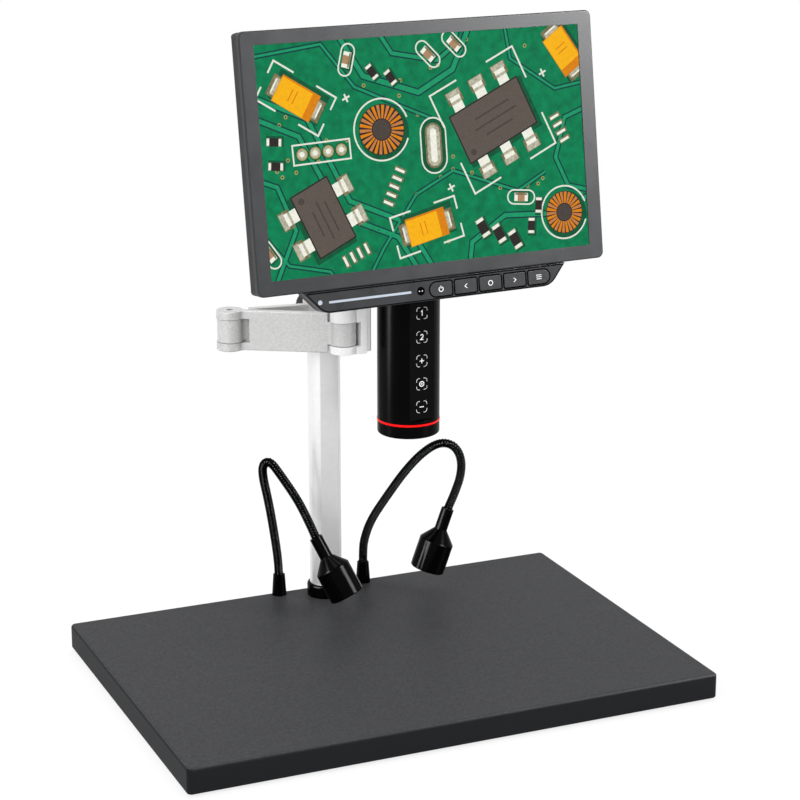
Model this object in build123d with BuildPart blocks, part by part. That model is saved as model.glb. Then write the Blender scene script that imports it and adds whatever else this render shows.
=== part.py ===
from build123d import *
from math import cos, radians, sin, sqrt, tan
import os

os.makedirs("parts", exist_ok=True)

# Desk microscope with its own display: a board base, a column, a two-link swing arm that slides on
# the column, an upright camera tube, a tilting monitor with five keys and two gooseneck lamps.
# Frame: X to the right, Y to the back, Z up, origin at the middle of the foot pad's underside.

# ---- clearances ----
running = 0.05  # radial, a pin or shaft that turns in its hole
seat = 0.02  # radial, a screw or plug that stays put in its own body
slide_gap = 0.10  # column to liner, each side
axial = 0.10  # between faces that turn past each other
body_gap = 0.30  # between pieces that only pass near each other

# ---- base ----
pad_t = 1.5
pad_inset = 5.0
base_w = 330.0
base_d = 231.0
base_t = 15.5
base_corner_r = 3.0
base_top_r = 2.0
base_bottom_r = 1.0
base_top = pad_t + base_t

# ---- column ----
column_x = 1.6
column_y = 101.35
column_w = 14.6
column_d = 20.3
column_r = 1.2
column_wall = 1.8
column_top = 283.0
foot_block_h = 22.0
foot_screw_pitch = 8.4
foot_screw_r = 2.0
foot_screw_head_r = 3.6
foot_screw_head_h = 3.0
foot_screw_recess = 4.0
foot_screw_short = 2.0  # screw tips below the foot block's top
boot_wall = 1.8
boot_h = 8.5
boot_r = 4.5
boot_edge_r = 1.5
cap_lip = 0.4
cap_t = 3.0
cap_plug_h = 8.0
column_cap_edge_r = 1.2

# ---- swing arm ----
arm_z = 197.6  # middle of both links
arm_h = 25.0
arm_t = 5.0
rear_link_l = 59.9  # column axis to elbow axis
rear_link_angle = 174.0
front_link_l = 70.8  # elbow axis to wrist axis
front_link_angle = -30.3
ear_r = 8.4
tongue_r = 7.9
fork_gap = 15.0
washer_t = 0.2
tongue_h = fork_gap - 2 * (washer_t + axial)
fork_shoulder = 12.5  # elbow axis to the full-height plate
tongue_shoulder = 9.6  # wrist axis to the full-height plate
neck_blend_r = 3.0
edge_break = 0.4
pin_r = 3.0
pin_head_r = 4.0
pin_head_h = 2.5
pin_socket_af = 4.0
pin_socket_depth = 1.2
pin_end_gap = 0.3

# ---- sliding sleeve and its clamp ----
liner_t = 0.6
sleeve_wall = 2.3
sleeve_r = 5.5
clamp_rise = 6.2  # above the arm's middle
clamp_boss_r = 5.8
clamp_boss_h = 4.0
stud_r = 2.45
knob_r = 8.0
knob_l = 9.6
knob_bore_l = 6.7
knob_flutes = 30
knob_flute_r = 0.5
knob_flute_offset = 0.2  # flute middles outside the knob's rim

# ---- head: wrist bracket, mount plate and camera tube, all square to the head's own axes ----
head_yaw = 4.2
web_x = 5.1  # wrist axis to the web's near face
web_t = 6.8
web_corner_r = 3.0
pocket_x = 7.9
pocket_clear = 0.6
knuckle_rise = 19.5  # above the arm's top face
web_rise = 20.4  # above the knuckle; the tube ends level with the web
plate_t = 3.7
plate_front = -7.4
plate_back = 8.0
plate_drop = 0.8
plate_edge_r = 1.1
saddle_front = -7.0
saddle_back = 5.0
saddle_drop = 4.6  # saddle's lower face below the knuckle's top
mount_screw_rises = (4.4, 13.2)  # above the knuckle
mount_screw_y = -2.0
mount_screw_r = 2.0
mount_screw_head_r = 3.5
mount_screw_head_h = 2.4
mount_screw_l = 24.0
boss_r = 4.0
boss_l = 9.5
head_reach = 40.0  # wrist axis to the tube axis, along the head's X
tube_back = -9.8  # wrist axis to the tube axis, along the head's Y
tube_r = 19.5
tube_wall = 2.5
nose_bottom = 131.5
nose_h = 8.0
nose_floor = 2.0
nose_hole_r = 10.5
nose_edge_r = 1.4
ring_h = 1.4
ring_proud = 0.25
flat_depth = 1.9  # from the round to the touch strip's face
touch_t = 0.8
flat_wall = 2.0  # tube wall behind the touch strip
touch_bottom_gap = 2.2  # red ring to the strip's lower end
touch_top_gap = 4.0  # strip's upper end below the tube's top
touch_side_inset = 0.1
touch_board_t = 1.2
touch_board_w = 14.0
touch_board_ends = (147.0, 219.0)
lens_barrel_r = 10.2
lens_barrel_recess = 0.8
lens_barrel_top = 172.0
lens_bore_r = 7.5
lens_flange_t = 3.0
lens_r = 7.45
lens_t = 3.5
lens_setback = 2.2
lens_curve_r = 16.0
sensor_board_w = 23.0
sensor_board_t = 1.6

# ---- monitor hinge on top of the tube ----
cap_disc_t = 4.0
cap_edge_r = 1.0
cap_plug_t = 2.5
hinge_y = -21.5  # from the wrist axis, along the head's Y
hinge_rise = 14.0  # above the cap
hinge_r = 6.5
lug_half = 7.7
lug_clear = 0.2  # inside the ears' rim
lug_root_half = 9.0
lug_root_in = 0.8  # into the cover's back
lug_root_depth = 1.2
hinge_ear_t = 6.0
hinge_washer_inset = 0.3  # from the ears' rim
shaft_r = 3.0
shaft_clip_r = 4.2
shaft_clip_t = 1.0

# ---- monitor: depths count from the picture plane, plus towards the viewer ----
screen_y = -34.5  # from the wrist axis, along the head's Y
screen_rise = 45.4  # above the hinge
screen_tilt = 8.4
picture_w = 217.0
picture_h = 135.6
frame_side = 9.4  # from the picture's edge, on average
frame_end = 8.5
frame_x = 0.4
frame_y = -0.3
frame_r = 4.0
bezel_front = 0.8
bezel_t = 4.0
bezel_edge_r = 0.8
bezel_screw_cover = 1.5  # bezel left in front of its screw holes
lip_clear = 0.1  # picture plane to the bezel's lip
panel_border = 2.5
panel_t = 2.4
backlight_t = 4.0
cavity_clear = 0.3
cover_gap = 0.3
cable_space = 3.2  # behind the backlight
cover_wall = 2.6
cover_inset = 0.3  # inside the bezel's outline
cover_edge_r = 2.6
bulge_w = 140.0
bulge_bottom = -28.0
bulge_top = 45.0
bulge_t = 12.0
bulge_r = 9.0
bulge_edge_r = 3.0
bulge_wall = 2.0
vent_count = 11
vent_w = 2.0
vent_l = 20.0
vent_pitch = 6.0
vent_y = 27.0
cover_screw_r = 1.2
cover_screw_head_r = 2.2
cover_screw_head_h = 1.2
main_board_w = 118.0
main_board_h = 60.0
main_board_t = 1.6
main_board_end = 3.0  # from the housing's end, beside the ports
main_board_depth = 12.0
chip_s = 16.0
chip_t = 1.4
chip_spots = ((-20.0, 4.0), (12.0, -6.0))  # from the board's middle
standoff_r = 2.5
standoff_inset = 5.0
port_l = 12.0
ports = ((15.0, 5.2, -14.0), (9.0, 3.2, 0.0), (13.0, 2.2, 14.0))  # width, height, place along the housing
port_inset = 0.4
port_rim = 0.6
port_mouth_l = 7.2
port_cut_l = 6.0
port_clear = 0.3

# ---- control strip under the picture ----
strip_h = 13.3
strip_top_ends = (-88.8, 90.2)
strip_bottom_ends = (-76.2, 79.3)
strip_corner_r = 11.5
strip_front = 0.6
strip_face_t = 1.4
strip_wall = 1.0
strip_edge_r = 0.5
strip_back_t = 5.0
strip_back_edge_r = 1.0
strip_web_inset = 2.0  # of the web that joins the strip's back to the cover
strip_web_h = 3.0
strip_web_rise = 1.0
strip_back_gap = 0.2
key_board_clear = 0.2  # behind the key board
key_w = 15.0
key_h = 8.4
key_pitch = 17.15
key_first_x = 2.2
key_drop = 7.0  # key middles below the strip's upper edge
key_gap = 0.35
key_corner_r = 0.9
key_proud = 0.15
key_edge_r = 0.25
key_flange = 0.6
key_flange_t = 0.6
key_names = ("power", "left", "ok", "right", "menu")
key_travel = 0.6
key_board_t = 1.2
dome_r = 1.6
dome_h = 0.5
dome_clear = 0.2  # pressed key to its switch
led_x = -78.4
led_drop = 6.5
led_r = 1.4
bar_ends = (-72.7, -17.9)
bar_drop = 6.9
bar_t = 1.35
ir_x = -11.5
ir_r = 2.7

# ---- gooseneck lamps ----
lamp_centre_x = 2.3
lamp_pitch = 58.6
lamp_y = 111.0
ferrule_h = 13.7
ferrule_foot_r = 4.7
ferrule_top_r = 3.8
ferrule_stud_r = 3.5
ferrule_stud_h = 10.0
ferrule_bore_h = 9.0
neck_r = 2.9
neck_bend_share = 0.45  # of the shorter run, used by each bend
lamp_ball_r = 3.3
stem_start = 0.0  # from the ball's middle
stem_r = 4.08
stem_l = 14.0
cone_l = 7.5
cone_step_w = 0.6
cone_step_l = 0.8
barrel_r = 11.1
barrel_end = 39.0
head_l = 42.0
head_wall = 1.2
lamp_ring_r = 11.0
lamp_ring_seat = 1.5
lamp_ring_edge = 0.6
lamp_ring_lip = 1.6
lamp_ring_mouth = 0.9
lamp_ring_mouth_l = 1.2
lamp_lens_t = 2.0
lamp_board_t = 1.2
led_foot_r = 2.6
led_face_r = 2.2
lamp_cavity_s = 25.0
left_neck_route = [
    (-29.6, 110.9, 57.0),
    (-33.3, 110.5, 80.0),
    (-38.3, 109.0, 101.5),
    (-37.6, 106.6, 108.8),
    (-34.6, 102.3, 110.2),
    (-30.3, 96.3, 102.5),
    (-23.2, 85.2, 88.5),
    (-19.2, 76.0, 75.5),
    (-16.5, 72.3, 67.0),
]
right_neck_route = [
    (32.2, 110.6, 46.0),
    (36.0, 107.8, 60.0),
    (44.6, 102.0, 76.5),
    (54.5, 95.9, 94.0),
    (64.0, 89.3, 107.5),
    (73.5, 83.2, 115.3),
    (81.5, 78.4, 113.8),
    (85.6, 75.4, 105.5),
    (84.9, 74.5, 94.0),
    (80.5, 74.9, 82.0),
    (76.2, 75.7, 72.2),
]
left_head_aim = (0.36, -0.35, -0.865)
right_head_aim = (-0.335, 0.03, -0.942)

# ---- power inlet for the lamps ----
inlet_x = 60.0
inlet_z = 9.4
inlet_w = 9.0
inlet_h = 10.0
inlet_depth = 12.0
inlet_bore_r = 2.8
inlet_bore_l = 9.0
inlet_pin_r = 1.0


def save(piece, name):
    piece.label = name
    export_step(piece, f"parts/{name}.step")


def local_plane(plane, x=0.0, y=0.0, z=0.0):
    # the same directions as plane, with its origin moved along them
    return Plane(origin=plane.from_local_coords(Vector(x, y, z)), x_dir=plane.x_dir, z_dir=plane.z_dir)


def turned_plane(x, y, angle):
    # upright plane at (x, y) whose X direction is turned by angle about the vertical
    return Plane(origin=(x, y, 0), x_dir=(cos(radians(angle)), sin(radians(angle)), 0), z_dir=(0, 0, 1))


arm_bottom = arm_z - arm_h / 2
arm_top = arm_z + arm_h / 2
clamp_z = arm_z + clamp_rise
knuckle_top = arm_top + knuckle_rise
web_top = knuckle_top + web_rise
tube_top = web_top
cap_top = tube_top + cap_disc_t
hinge_z = cap_top + hinge_rise
screen_z = hinge_z + screen_rise

column_plane = Plane(origin=(column_x, column_y, 0))
rear_link = turned_plane(column_x, column_y, rear_link_angle)
elbow = rear_link.from_local_coords(Vector(rear_link_l, 0, 0))
front_link = turned_plane(elbow.X, elbow.Y, front_link_angle)
wrist = front_link.from_local_coords(Vector(front_link_l, 0, 0))
head = turned_plane(wrist.X, wrist.Y, head_yaw)
tube = local_plane(head, head_reach, tube_back)
hinge = Plane(
    origin=head.from_local_coords(Vector(head_reach, hinge_y, hinge_z)), x_dir=head.y_dir, z_dir=head.x_dir
)
screen_normal = head.z_dir * sin(radians(screen_tilt)) - head.y_dir * cos(radians(screen_tilt))
screen = Plane(
    origin=head.from_local_coords(Vector(head_reach, screen_y, screen_z)),
    x_dir=head.x_dir,
    z_dir=screen_normal,
)
ear_t = (arm_h - fork_gap) / 2

# ================= base =================
inlet_plane = Plane(origin=(inlet_x, base_d / 2, inlet_z), x_dir=(-1, 0, 0), z_dir=(0, 1, 0))
ferrule_xs = (lamp_centre_x - lamp_pitch / 2, lamp_centre_x + lamp_pitch / 2)
foot_screw_spots = [(column_x, column_y - foot_screw_pitch / 2), (column_x, column_y + foot_screw_pitch / 2)]

with BuildPart() as base_pad:
    with BuildSketch():
        RectangleRounded(base_w - 2 * pad_inset, base_d - 2 * pad_inset, base_corner_r)
    extrude(amount=pad_t)
save(base_pad.part, "base_pad")

with BuildPart() as base_board:
    with BuildSketch(Plane.XY.offset(pad_t)):
        RectangleRounded(base_w, base_d, base_corner_r)
    extrude(amount=base_t)
    fillet(base_board.faces().sort_by(Axis.Z)[-1].edges(), base_top_r)
    fillet(base_board.faces().sort_by(Axis.Z)[0].edges(), base_bottom_r)
    with BuildSketch(Plane.XY.offset(pad_t)):
        with Locations(*foot_screw_spots):
            Circle(foot_screw_r + seat)
    extrude(amount=base_t, mode=Mode.SUBTRACT)
    with BuildSketch(Plane.XY.offset(pad_t)):
        with Locations(*foot_screw_spots):
            Circle(foot_screw_head_r + seat)
    extrude(amount=foot_screw_recess, mode=Mode.SUBTRACT)
    with BuildSketch(Plane.XY.offset(base_top)):
        with Locations(*[(x, lamp_y) for x in ferrule_xs]):
            Circle(ferrule_stud_r + seat)
    extrude(amount=-ferrule_stud_h - seat, mode=Mode.SUBTRACT)
    with BuildSketch(inlet_plane):
        Rectangle(inlet_w + 2 * seat, inlet_h + 2 * seat)
    extrude(amount=-inlet_depth, mode=Mode.SUBTRACT)
save(base_board.part, "base_board")

with BuildPart() as column:
    with BuildSketch(column_plane.offset(base_top)):
        RectangleRounded(column_w, column_d, column_r)
        RectangleRounded(
            column_w - 2 * column_wall, column_d - 2 * column_wall, column_r / 2, mode=Mode.SUBTRACT
        )
    extrude(amount=column_top - base_top)
save(column.part, "column")

with BuildPart() as column_foot:
    with BuildSketch(column_plane.offset(base_top)):
        RectangleRounded(
            column_w - 2 * (column_wall + seat), column_d - 2 * (column_wall + seat), column_r / 2
        )
    extrude(amount=foot_block_h)
    with BuildSketch(Plane.XY.offset(base_top)):
        with Locations(*foot_screw_spots):
            Circle(foot_screw_r + seat)
    extrude(amount=foot_block_h, mode=Mode.SUBTRACT)
save(column_foot.part, "column_foot")

with BuildPart() as column_screws:
    with BuildSketch(Plane.XY.offset(pad_t + foot_screw_recess)):
        with Locations(*foot_screw_spots):
            Circle(foot_screw_r)
    extrude(amount=base_t - foot_screw_recess + foot_block_h - foot_screw_short)
    with BuildSketch(Plane.XY.offset(pad_t + foot_screw_recess - foot_screw_head_h)):
        with Locations(*foot_screw_spots):
            Circle(foot_screw_head_r)
    extrude(amount=foot_screw_head_h)
save(column_screws.part, "column_screws")

with BuildPart() as column_boot:
    with BuildSketch(column_plane.offset(base_top)):
        RectangleRounded(column_w + 2 * boot_wall, column_d + 2 * boot_wall, boot_r)
    extrude(amount=boot_h)
    fillet(column_boot.faces().sort_by(Axis.Z)[-1].edges(), boot_edge_r)
    with BuildSketch(column_plane.offset(base_top)):
        RectangleRounded(column_w + 2 * seat, column_d + 2 * seat, column_r)
    extrude(amount=boot_h, mode=Mode.SUBTRACT)
save(column_boot.part, "column_boot")

with BuildPart() as column_cap:
    with BuildSketch(column_plane.offset(column_top)):
        RectangleRounded(column_w + 2 * cap_lip, column_d + 2 * cap_lip, column_r + cap_lip)
    extrude(amount=cap_t)
    fillet(column_cap.faces().sort_by(Axis.Z)[-1].edges(), column_cap_edge_r)
    with BuildSketch(column_plane.offset(column_top)):
        RectangleRounded(
            column_w - 2 * (column_wall + seat), column_d - 2 * (column_wall + seat), column_r / 2
        )
    extrude(amount=-cap_plug_h)
save(column_cap.part, "column_cap")

with BuildPart() as lamp_ferrules:
    for ferrule_x in ferrule_xs:
        ferrule_profile = Plane(origin=(ferrule_x, lamp_y, base_top), x_dir=(1, 0, 0), z_dir=(0, -1, 0))
        with BuildSketch(ferrule_profile):
            with BuildLine():
                Polyline(
                    (0, -ferrule_stud_h),
                    (ferrule_stud_r, -ferrule_stud_h),
                    (ferrule_stud_r, 0),
                    (ferrule_foot_r, 0),
                    (ferrule_top_r, ferrule_h),
                    (neck_r + running, ferrule_h),
                    (neck_r + running, ferrule_h - ferrule_bore_h),
                    (0, ferrule_h - ferrule_bore_h),
                    close=True,
                )
            make_face()
        revolve(axis=Axis((ferrule_x, lamp_y, 0), (0, 0, 1)))
save(lamp_ferrules.part, "lamp_ferrules")

with BuildPart() as power_inlet:
    with BuildSketch(inlet_plane):
        Rectangle(inlet_w, inlet_h)
    extrude(amount=-inlet_depth)
    with BuildSketch(inlet_plane):
        Circle(inlet_bore_r)
        Circle(inlet_pin_r, mode=Mode.SUBTRACT)
    extrude(amount=-inlet_bore_l, mode=Mode.SUBTRACT)
save(power_inlet.part, "power_inlet")


# ================= swing arm =================
def hinge_plan(centre_x, radius, toward_x):
    # round hinge end that blends into the link's plate; drawn in the current sketch
    with Locations((centre_x, 0)):
        Circle(radius)
    with Locations(((centre_x + toward_x) / 2, 0)):
        Rectangle(abs(toward_x - centre_x), arm_t)


def blend_neck(sketch, centre_x, radius):
    # rounds the two inside corners where the plate leaves the round end
    reach = sqrt(radius**2 - (arm_t / 2) ** 2)
    corners = [v for v in sketch.vertices() if abs(abs(v.X - centre_x) - reach) < 1e-3 and abs(v.Y) < arm_t]
    fillet(corners, neck_blend_r)


def washer_pair(centre_plane, low_z, high_z, inner_r, outer_r, thickness):
    # two thin washers, one under low_z and one above high_z
    for bottom_z in (low_z - thickness, high_z):
        with BuildSketch(centre_plane.offset(bottom_z)) as washer:
            Circle(outer_r)
            Circle(inner_r, mode=Mode.SUBTRACT)
        extrude(washer.sketch, amount=thickness)


sleeve_bore_w = column_w + 2 * (slide_gap + liner_t + seat)
sleeve_bore_d = column_d + 2 * (slide_gap + liner_t + seat)
sleeve_w = sleeve_bore_w + 2 * sleeve_wall
sleeve_d = sleeve_bore_d + 2 * sleeve_wall
sleeve_top = 2 * clamp_z - arm_bottom
clamp_plane = Plane(origin=(column_x, column_y + sleeve_d / 2, clamp_z), x_dir=(-1, 0, 0), z_dir=(0, 1, 0))

with BuildPart() as rear_arm:
    with BuildSketch(column_plane.offset(arm_bottom)):
        RectangleRounded(sleeve_w, sleeve_d, sleeve_r)
    extrude(amount=sleeve_top - arm_bottom)
    with BuildSketch(rear_link.offset(arm_bottom)):
        with Locations(((rear_link_l - fork_shoulder) / 2, 0)):
            Rectangle(rear_link_l - fork_shoulder, arm_t)
    extrude(amount=arm_h)
    with BuildSketch(rear_link.offset(arm_z - tongue_h / 2)) as tongue_sketch:
        hinge_plan(rear_link_l, tongue_r, rear_link_l - fork_shoulder - arm_t)
        blend_neck(tongue_sketch, rear_link_l, tongue_r)
    extrude(amount=tongue_h)
    with BuildSketch(clamp_plane):
        Circle(clamp_boss_r)
    extrude(amount=clamp_boss_h)
    with BuildSketch(clamp_plane.offset(clamp_boss_h)):
        Circle(stud_r + running)
    extrude(amount=-clamp_boss_h - sleeve_d / 2, mode=Mode.SUBTRACT)
    with BuildSketch(column_plane.offset(arm_bottom)):
        RectangleRounded(sleeve_bore_w, sleeve_bore_d, column_r + slide_gap + liner_t)
    extrude(amount=sleeve_top - arm_bottom, mode=Mode.SUBTRACT)
    with BuildSketch(rear_link.offset(arm_bottom)):
        with Locations((rear_link_l, 0)):
            Circle(pin_r + running)
    extrude(amount=arm_h, mode=Mode.SUBTRACT)
save(rear_arm.part, "rear_arm")

with BuildPart() as sleeve_liner:
    with BuildSketch(column_plane.offset(arm_bottom)):
        RectangleRounded(sleeve_bore_w - 2 * seat, sleeve_bore_d - 2 * seat, column_r + slide_gap + liner_t)
        RectangleRounded(
            column_w + 2 * slide_gap, column_d + 2 * slide_gap, column_r + slide_gap, mode=Mode.SUBTRACT
        )
    extrude(amount=sleeve_top - arm_bottom)
    with BuildSketch(clamp_plane):
        Circle(stud_r + body_gap)
    extrude(amount=-sleeve_d / 2, mode=Mode.SUBTRACT)
save(sleeve_liner.part, "sleeve_liner")

elbow_plane = Plane(origin=(elbow.X, elbow.Y, 0))
wrist_plane = Plane(origin=(wrist.X, wrist.Y, 0))

with BuildPart() as elbow_washers:
    washer_pair(
        elbow_plane, arm_z - tongue_h / 2, arm_z + tongue_h / 2, pin_r + running, tongue_r - 1.0, washer_t
    )
save(elbow_washers.part, "elbow_washers")

stud_tip = column_d / 2 + body_gap
stud_start = Plane(origin=(column_x, column_y + stud_tip, clamp_z), x_dir=(-1, 0, 0), z_dir=(0, 1, 0))
knob_start = sleeve_d / 2 + clamp_boss_h + body_gap
knob_plane = Plane(origin=(column_x, column_y + knob_start, clamp_z), x_dir=(-1, 0, 0), z_dir=(0, 1, 0))

with BuildPart() as clamp_knob:
    with BuildSketch(knob_plane):
        Circle(knob_r)
        with PolarLocations(knob_r + knob_flute_offset, knob_flutes):
            Circle(knob_flute_r, mode=Mode.SUBTRACT)
    extrude(amount=knob_l)
    with BuildSketch(knob_plane):
        Circle(stud_r + seat)
    extrude(amount=knob_bore_l, mode=Mode.SUBTRACT)
save(clamp_knob.part, "clamp_knob")

with BuildPart() as clamp_stud:
    with BuildSketch(stud_start):
        Circle(stud_r)
    extrude(amount=knob_start - stud_tip + knob_bore_l)
    chamfer(clamp_stud.faces().sort_by(Axis.Y)[0].edges(), 0.5)
save(clamp_stud.part, "clamp_stud")

with BuildPart() as front_arm:
    plate_l = front_link_l - fork_shoulder - tongue_shoulder
    for ear_z in (arm_bottom, arm_top - ear_t):
        with BuildSketch(front_link.offset(ear_z)) as ear_sketch:
            hinge_plan(0, ear_r, fork_shoulder + arm_t)
            blend_neck(ear_sketch, 0, ear_r)
        extrude(amount=ear_t)
    with BuildSketch(front_link.offset(arm_bottom)):
        with Locations((fork_shoulder + plate_l / 2, 0)):
            Rectangle(plate_l, arm_t)
    extrude(amount=arm_h)
    with BuildSketch(front_link.offset(arm_z - tongue_h / 2)) as tongue_sketch:
        hinge_plan(front_link_l, tongue_r, front_link_l - tongue_shoulder - arm_t)
        blend_neck(tongue_sketch, front_link_l, tongue_r)
    extrude(amount=tongue_h)
    chamfer(front_arm.faces().sort_by(Axis.Z)[-1].edges(), edge_break)
    chamfer(front_arm.faces().sort_by(Axis.Z)[0].edges(), edge_break)
    with BuildSketch(front_link.offset(arm_bottom)):
        Circle(pin_r + seat)
    extrude(amount=arm_h, mode=Mode.SUBTRACT)
    with BuildSketch(front_link.offset(arm_top)):
        Circle(pin_head_r + seat)
    extrude(amount=-pin_head_h - seat, mode=Mode.SUBTRACT)
    with BuildSketch(front_link.offset(arm_bottom)):
        with Locations((front_link_l, 0)):
            Circle(pin_r + running)
    extrude(amount=arm_h, mode=Mode.SUBTRACT)
save(front_arm.part, "front_arm")

with BuildPart() as wrist_washers:
    washer_pair(
        wrist_plane, arm_z - tongue_h / 2, arm_z + tongue_h / 2, pin_r + running, tongue_r - 1.0, washer_t
    )
save(wrist_washers.part, "wrist_washers")


def hinge_pin(plane, head_z, length, way):
    # shoulder screw with a socket head; way is -1 for a head on top and 1 for a head below
    with BuildSketch(plane.offset(head_z)) as pin_head:
        Circle(pin_head_r)
    extrude(pin_head.sketch, amount=way * pin_head_h)
    with BuildSketch(plane.offset(head_z)) as shank:
        Circle(pin_r)
    extrude(shank.sketch, amount=way * length)
    with BuildSketch(plane.offset(head_z)) as socket:
        RegularPolygon(pin_socket_af / sqrt(3), 6)
    extrude(socket.sketch, amount=way * pin_socket_depth, mode=Mode.SUBTRACT)


with BuildPart() as elbow_pin:
    hinge_pin(elbow_plane, arm_top, arm_h - pin_end_gap, -1)
save(elbow_pin.part, "elbow_pin")

with BuildPart() as wrist_pin:
    hinge_pin(wrist_plane, arm_bottom, arm_h + ear_t, 1)
save(wrist_pin.part, "wrist_pin")

# ================= head =================
plate_x = web_x + web_t
saddle_x = plate_x + plate_t
tube_inner_r = tube_r - tube_wall
strip_y = flat_depth - tube_r  # the touch strip's face, from the tube axis
pocket_r = tongue_r + pocket_clear
mount_axis = Plane(
    origin=head.from_local_coords(Vector(web_x, mount_screw_y, 0)), x_dir=head.y_dir, z_dir=head.x_dir
)
mount_spots = [(0, knuckle_top + rise) for rise in mount_screw_rises]
saddle_bottom = knuckle_top - saddle_drop

with BuildPart() as wrist_bracket:
    with BuildSketch(head.offset(arm_bottom)):
        Circle(ear_r)
    extrude(amount=knuckle_top - arm_bottom)
    with BuildSketch(head.offset(arm_bottom)):
        with Locations((web_x + web_t / 2, 0)):
            Rectangle(web_t, 2 * ear_r)
    extrude(amount=web_top - arm_bottom)
    web_corners = wrist_bracket.faces().sort_by(Axis.Z)[-1].edges().filter_by(Axis(head.origin, head.x_dir))
    fillet(web_corners, web_corner_r)
    with BuildSketch(head.offset(arm_z - fork_gap / 2)):
        Circle(pocket_r)
        with Locations(((pocket_x - pocket_r) / 2, 0)):
            Rectangle(pocket_x + pocket_r, 2 * pocket_r)
    extrude(amount=fork_gap, mode=Mode.SUBTRACT)
    with BuildSketch(head.offset(arm_bottom)):
        Circle(pin_r + seat)
    extrude(amount=arm_h + ear_t + pin_end_gap, mode=Mode.SUBTRACT)
    with BuildSketch(head.offset(arm_bottom)):
        Circle(pin_head_r + seat)
    extrude(amount=pin_head_h + seat, mode=Mode.SUBTRACT)
    with BuildSketch(mount_axis):
        with Locations(*mount_spots):
            Circle(mount_screw_r + seat)
    extrude(amount=web_t, mode=Mode.SUBTRACT)
save(wrist_bracket.part, "wrist_bracket")

with BuildPart() as mount_plate:
    with BuildSketch(head.offset(arm_bottom + plate_drop)):
        with Locations((plate_x + plate_t / 2, (plate_front + plate_back) / 2)):
            Rectangle(plate_t, plate_back - plate_front)
    extrude(amount=web_top - arm_bottom - plate_drop)
    front_corners = mount_plate.edges().filter_by(Axis.Z).sort_by(Axis(head.origin, head.y_dir))[:2]
    fillet(front_corners, plate_edge_r)
    with BuildSketch(head.offset(saddle_bottom)):
        with Locations(((saddle_x + head_reach) / 2, (saddle_front + saddle_back) / 2)):
            Rectangle(head_reach - saddle_x, saddle_back - saddle_front)
    extrude(amount=web_top - saddle_bottom)
    with BuildSketch(tube.offset(saddle_bottom)):
        Circle(tube_r + seat)
    extrude(amount=web_top - saddle_bottom, mode=Mode.SUBTRACT)
    with BuildSketch(mount_axis):
        with Locations(*mount_spots):
            Circle(mount_screw_r + seat)
    extrude(amount=head_reach, mode=Mode.SUBTRACT)
save(mount_plate.part, "mount_plate")

with BuildPart() as mount_screws:
    with BuildSketch(mount_axis):
        with Locations(*mount_spots):
            Circle(mount_screw_head_r)
    extrude(amount=-mount_screw_head_h)
    with BuildSketch(mount_axis):
        with Locations(*mount_spots):
            Circle(mount_screw_r)
    extrude(amount=mount_screw_l)
save(mount_screws.part, "mount_screws")

ring_bottom = nose_bottom + nose_h
tube_bottom = ring_bottom + ring_h
touch_bottom = tube_bottom + touch_bottom_gap
touch_top = tube_top - touch_top_gap
touch_half = sqrt(tube_r**2 - strip_y**2) - touch_side_inset
boss_x = sqrt(tube_r**2 - (mount_screw_y - tube_back) ** 2)

with BuildPart() as tube_shell:
    with BuildSketch(tube.offset(tube_bottom)):
        Circle(tube_r)
        with BuildSketch(tube, mode=Mode.PRIVATE) as tube_bore:
            Circle(tube_inner_r)
            with Locations((0, strip_y + touch_t + flat_wall - tube_r)):
                Rectangle(2 * tube_r, 2 * tube_r, mode=Mode.SUBTRACT)
        add(tube_bore.sketch_local, mode=Mode.SUBTRACT)
    extrude(amount=tube_top - tube_bottom)
    with BuildSketch(tube.offset(touch_bottom)):
        with Locations((0, strip_y + touch_t - tube_r)):
            Rectangle(2 * touch_half, 2 * tube_r)
    extrude(amount=tube_top - touch_bottom, mode=Mode.SUBTRACT)
    with BuildSketch(local_plane(mount_axis, z=head_reach - boss_x - web_x)):
        with Locations(*mount_spots):
            Circle(boss_r)
    extrude(amount=boss_l)
    with BuildSketch(tube.offset(tube_bottom)):
        Circle(tube_r + boss_l)
        Circle(tube_r, mode=Mode.SUBTRACT)
    extrude(amount=tube_top - tube_bottom, mode=Mode.SUBTRACT)
    with BuildSketch(mount_axis):
        with Locations(*mount_spots):
            Circle(mount_screw_r + seat)
    extrude(amount=mount_screw_l + seat, mode=Mode.SUBTRACT)
save(tube_shell.part, "tube_shell")

with BuildPart() as touch_strip:
    with BuildSketch(tube.offset(touch_bottom)):
        with Locations((0, strip_y + touch_t / 2)):
            Rectangle(2 * (touch_half - seat), touch_t - seat)
    extrude(amount=touch_top - touch_bottom)
save(touch_strip.part, "touch_strip")

with BuildPart() as touch_board:
    with BuildSketch(tube.offset(touch_board_ends[0])):
        with Locations((0, strip_y + touch_t + flat_wall + seat + touch_board_t / 2)):
            Rectangle(touch_board_w, touch_board_t)
    extrude(amount=touch_board_ends[1] - touch_board_ends[0])
save(touch_board.part, "touch_board")

with BuildPart() as red_ring:
    with BuildSketch(tube.offset(ring_bottom)):
        Circle(tube_r + ring_proud)
        Circle(tube_inner_r, mode=Mode.SUBTRACT)
    extrude(amount=ring_h)
    fillet(red_ring.edges().filter_by(GeomType.CIRCLE).sort_by(SortBy.RADIUS)[-2:], ring_proud)
save(red_ring.part, "red_ring")

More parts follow.
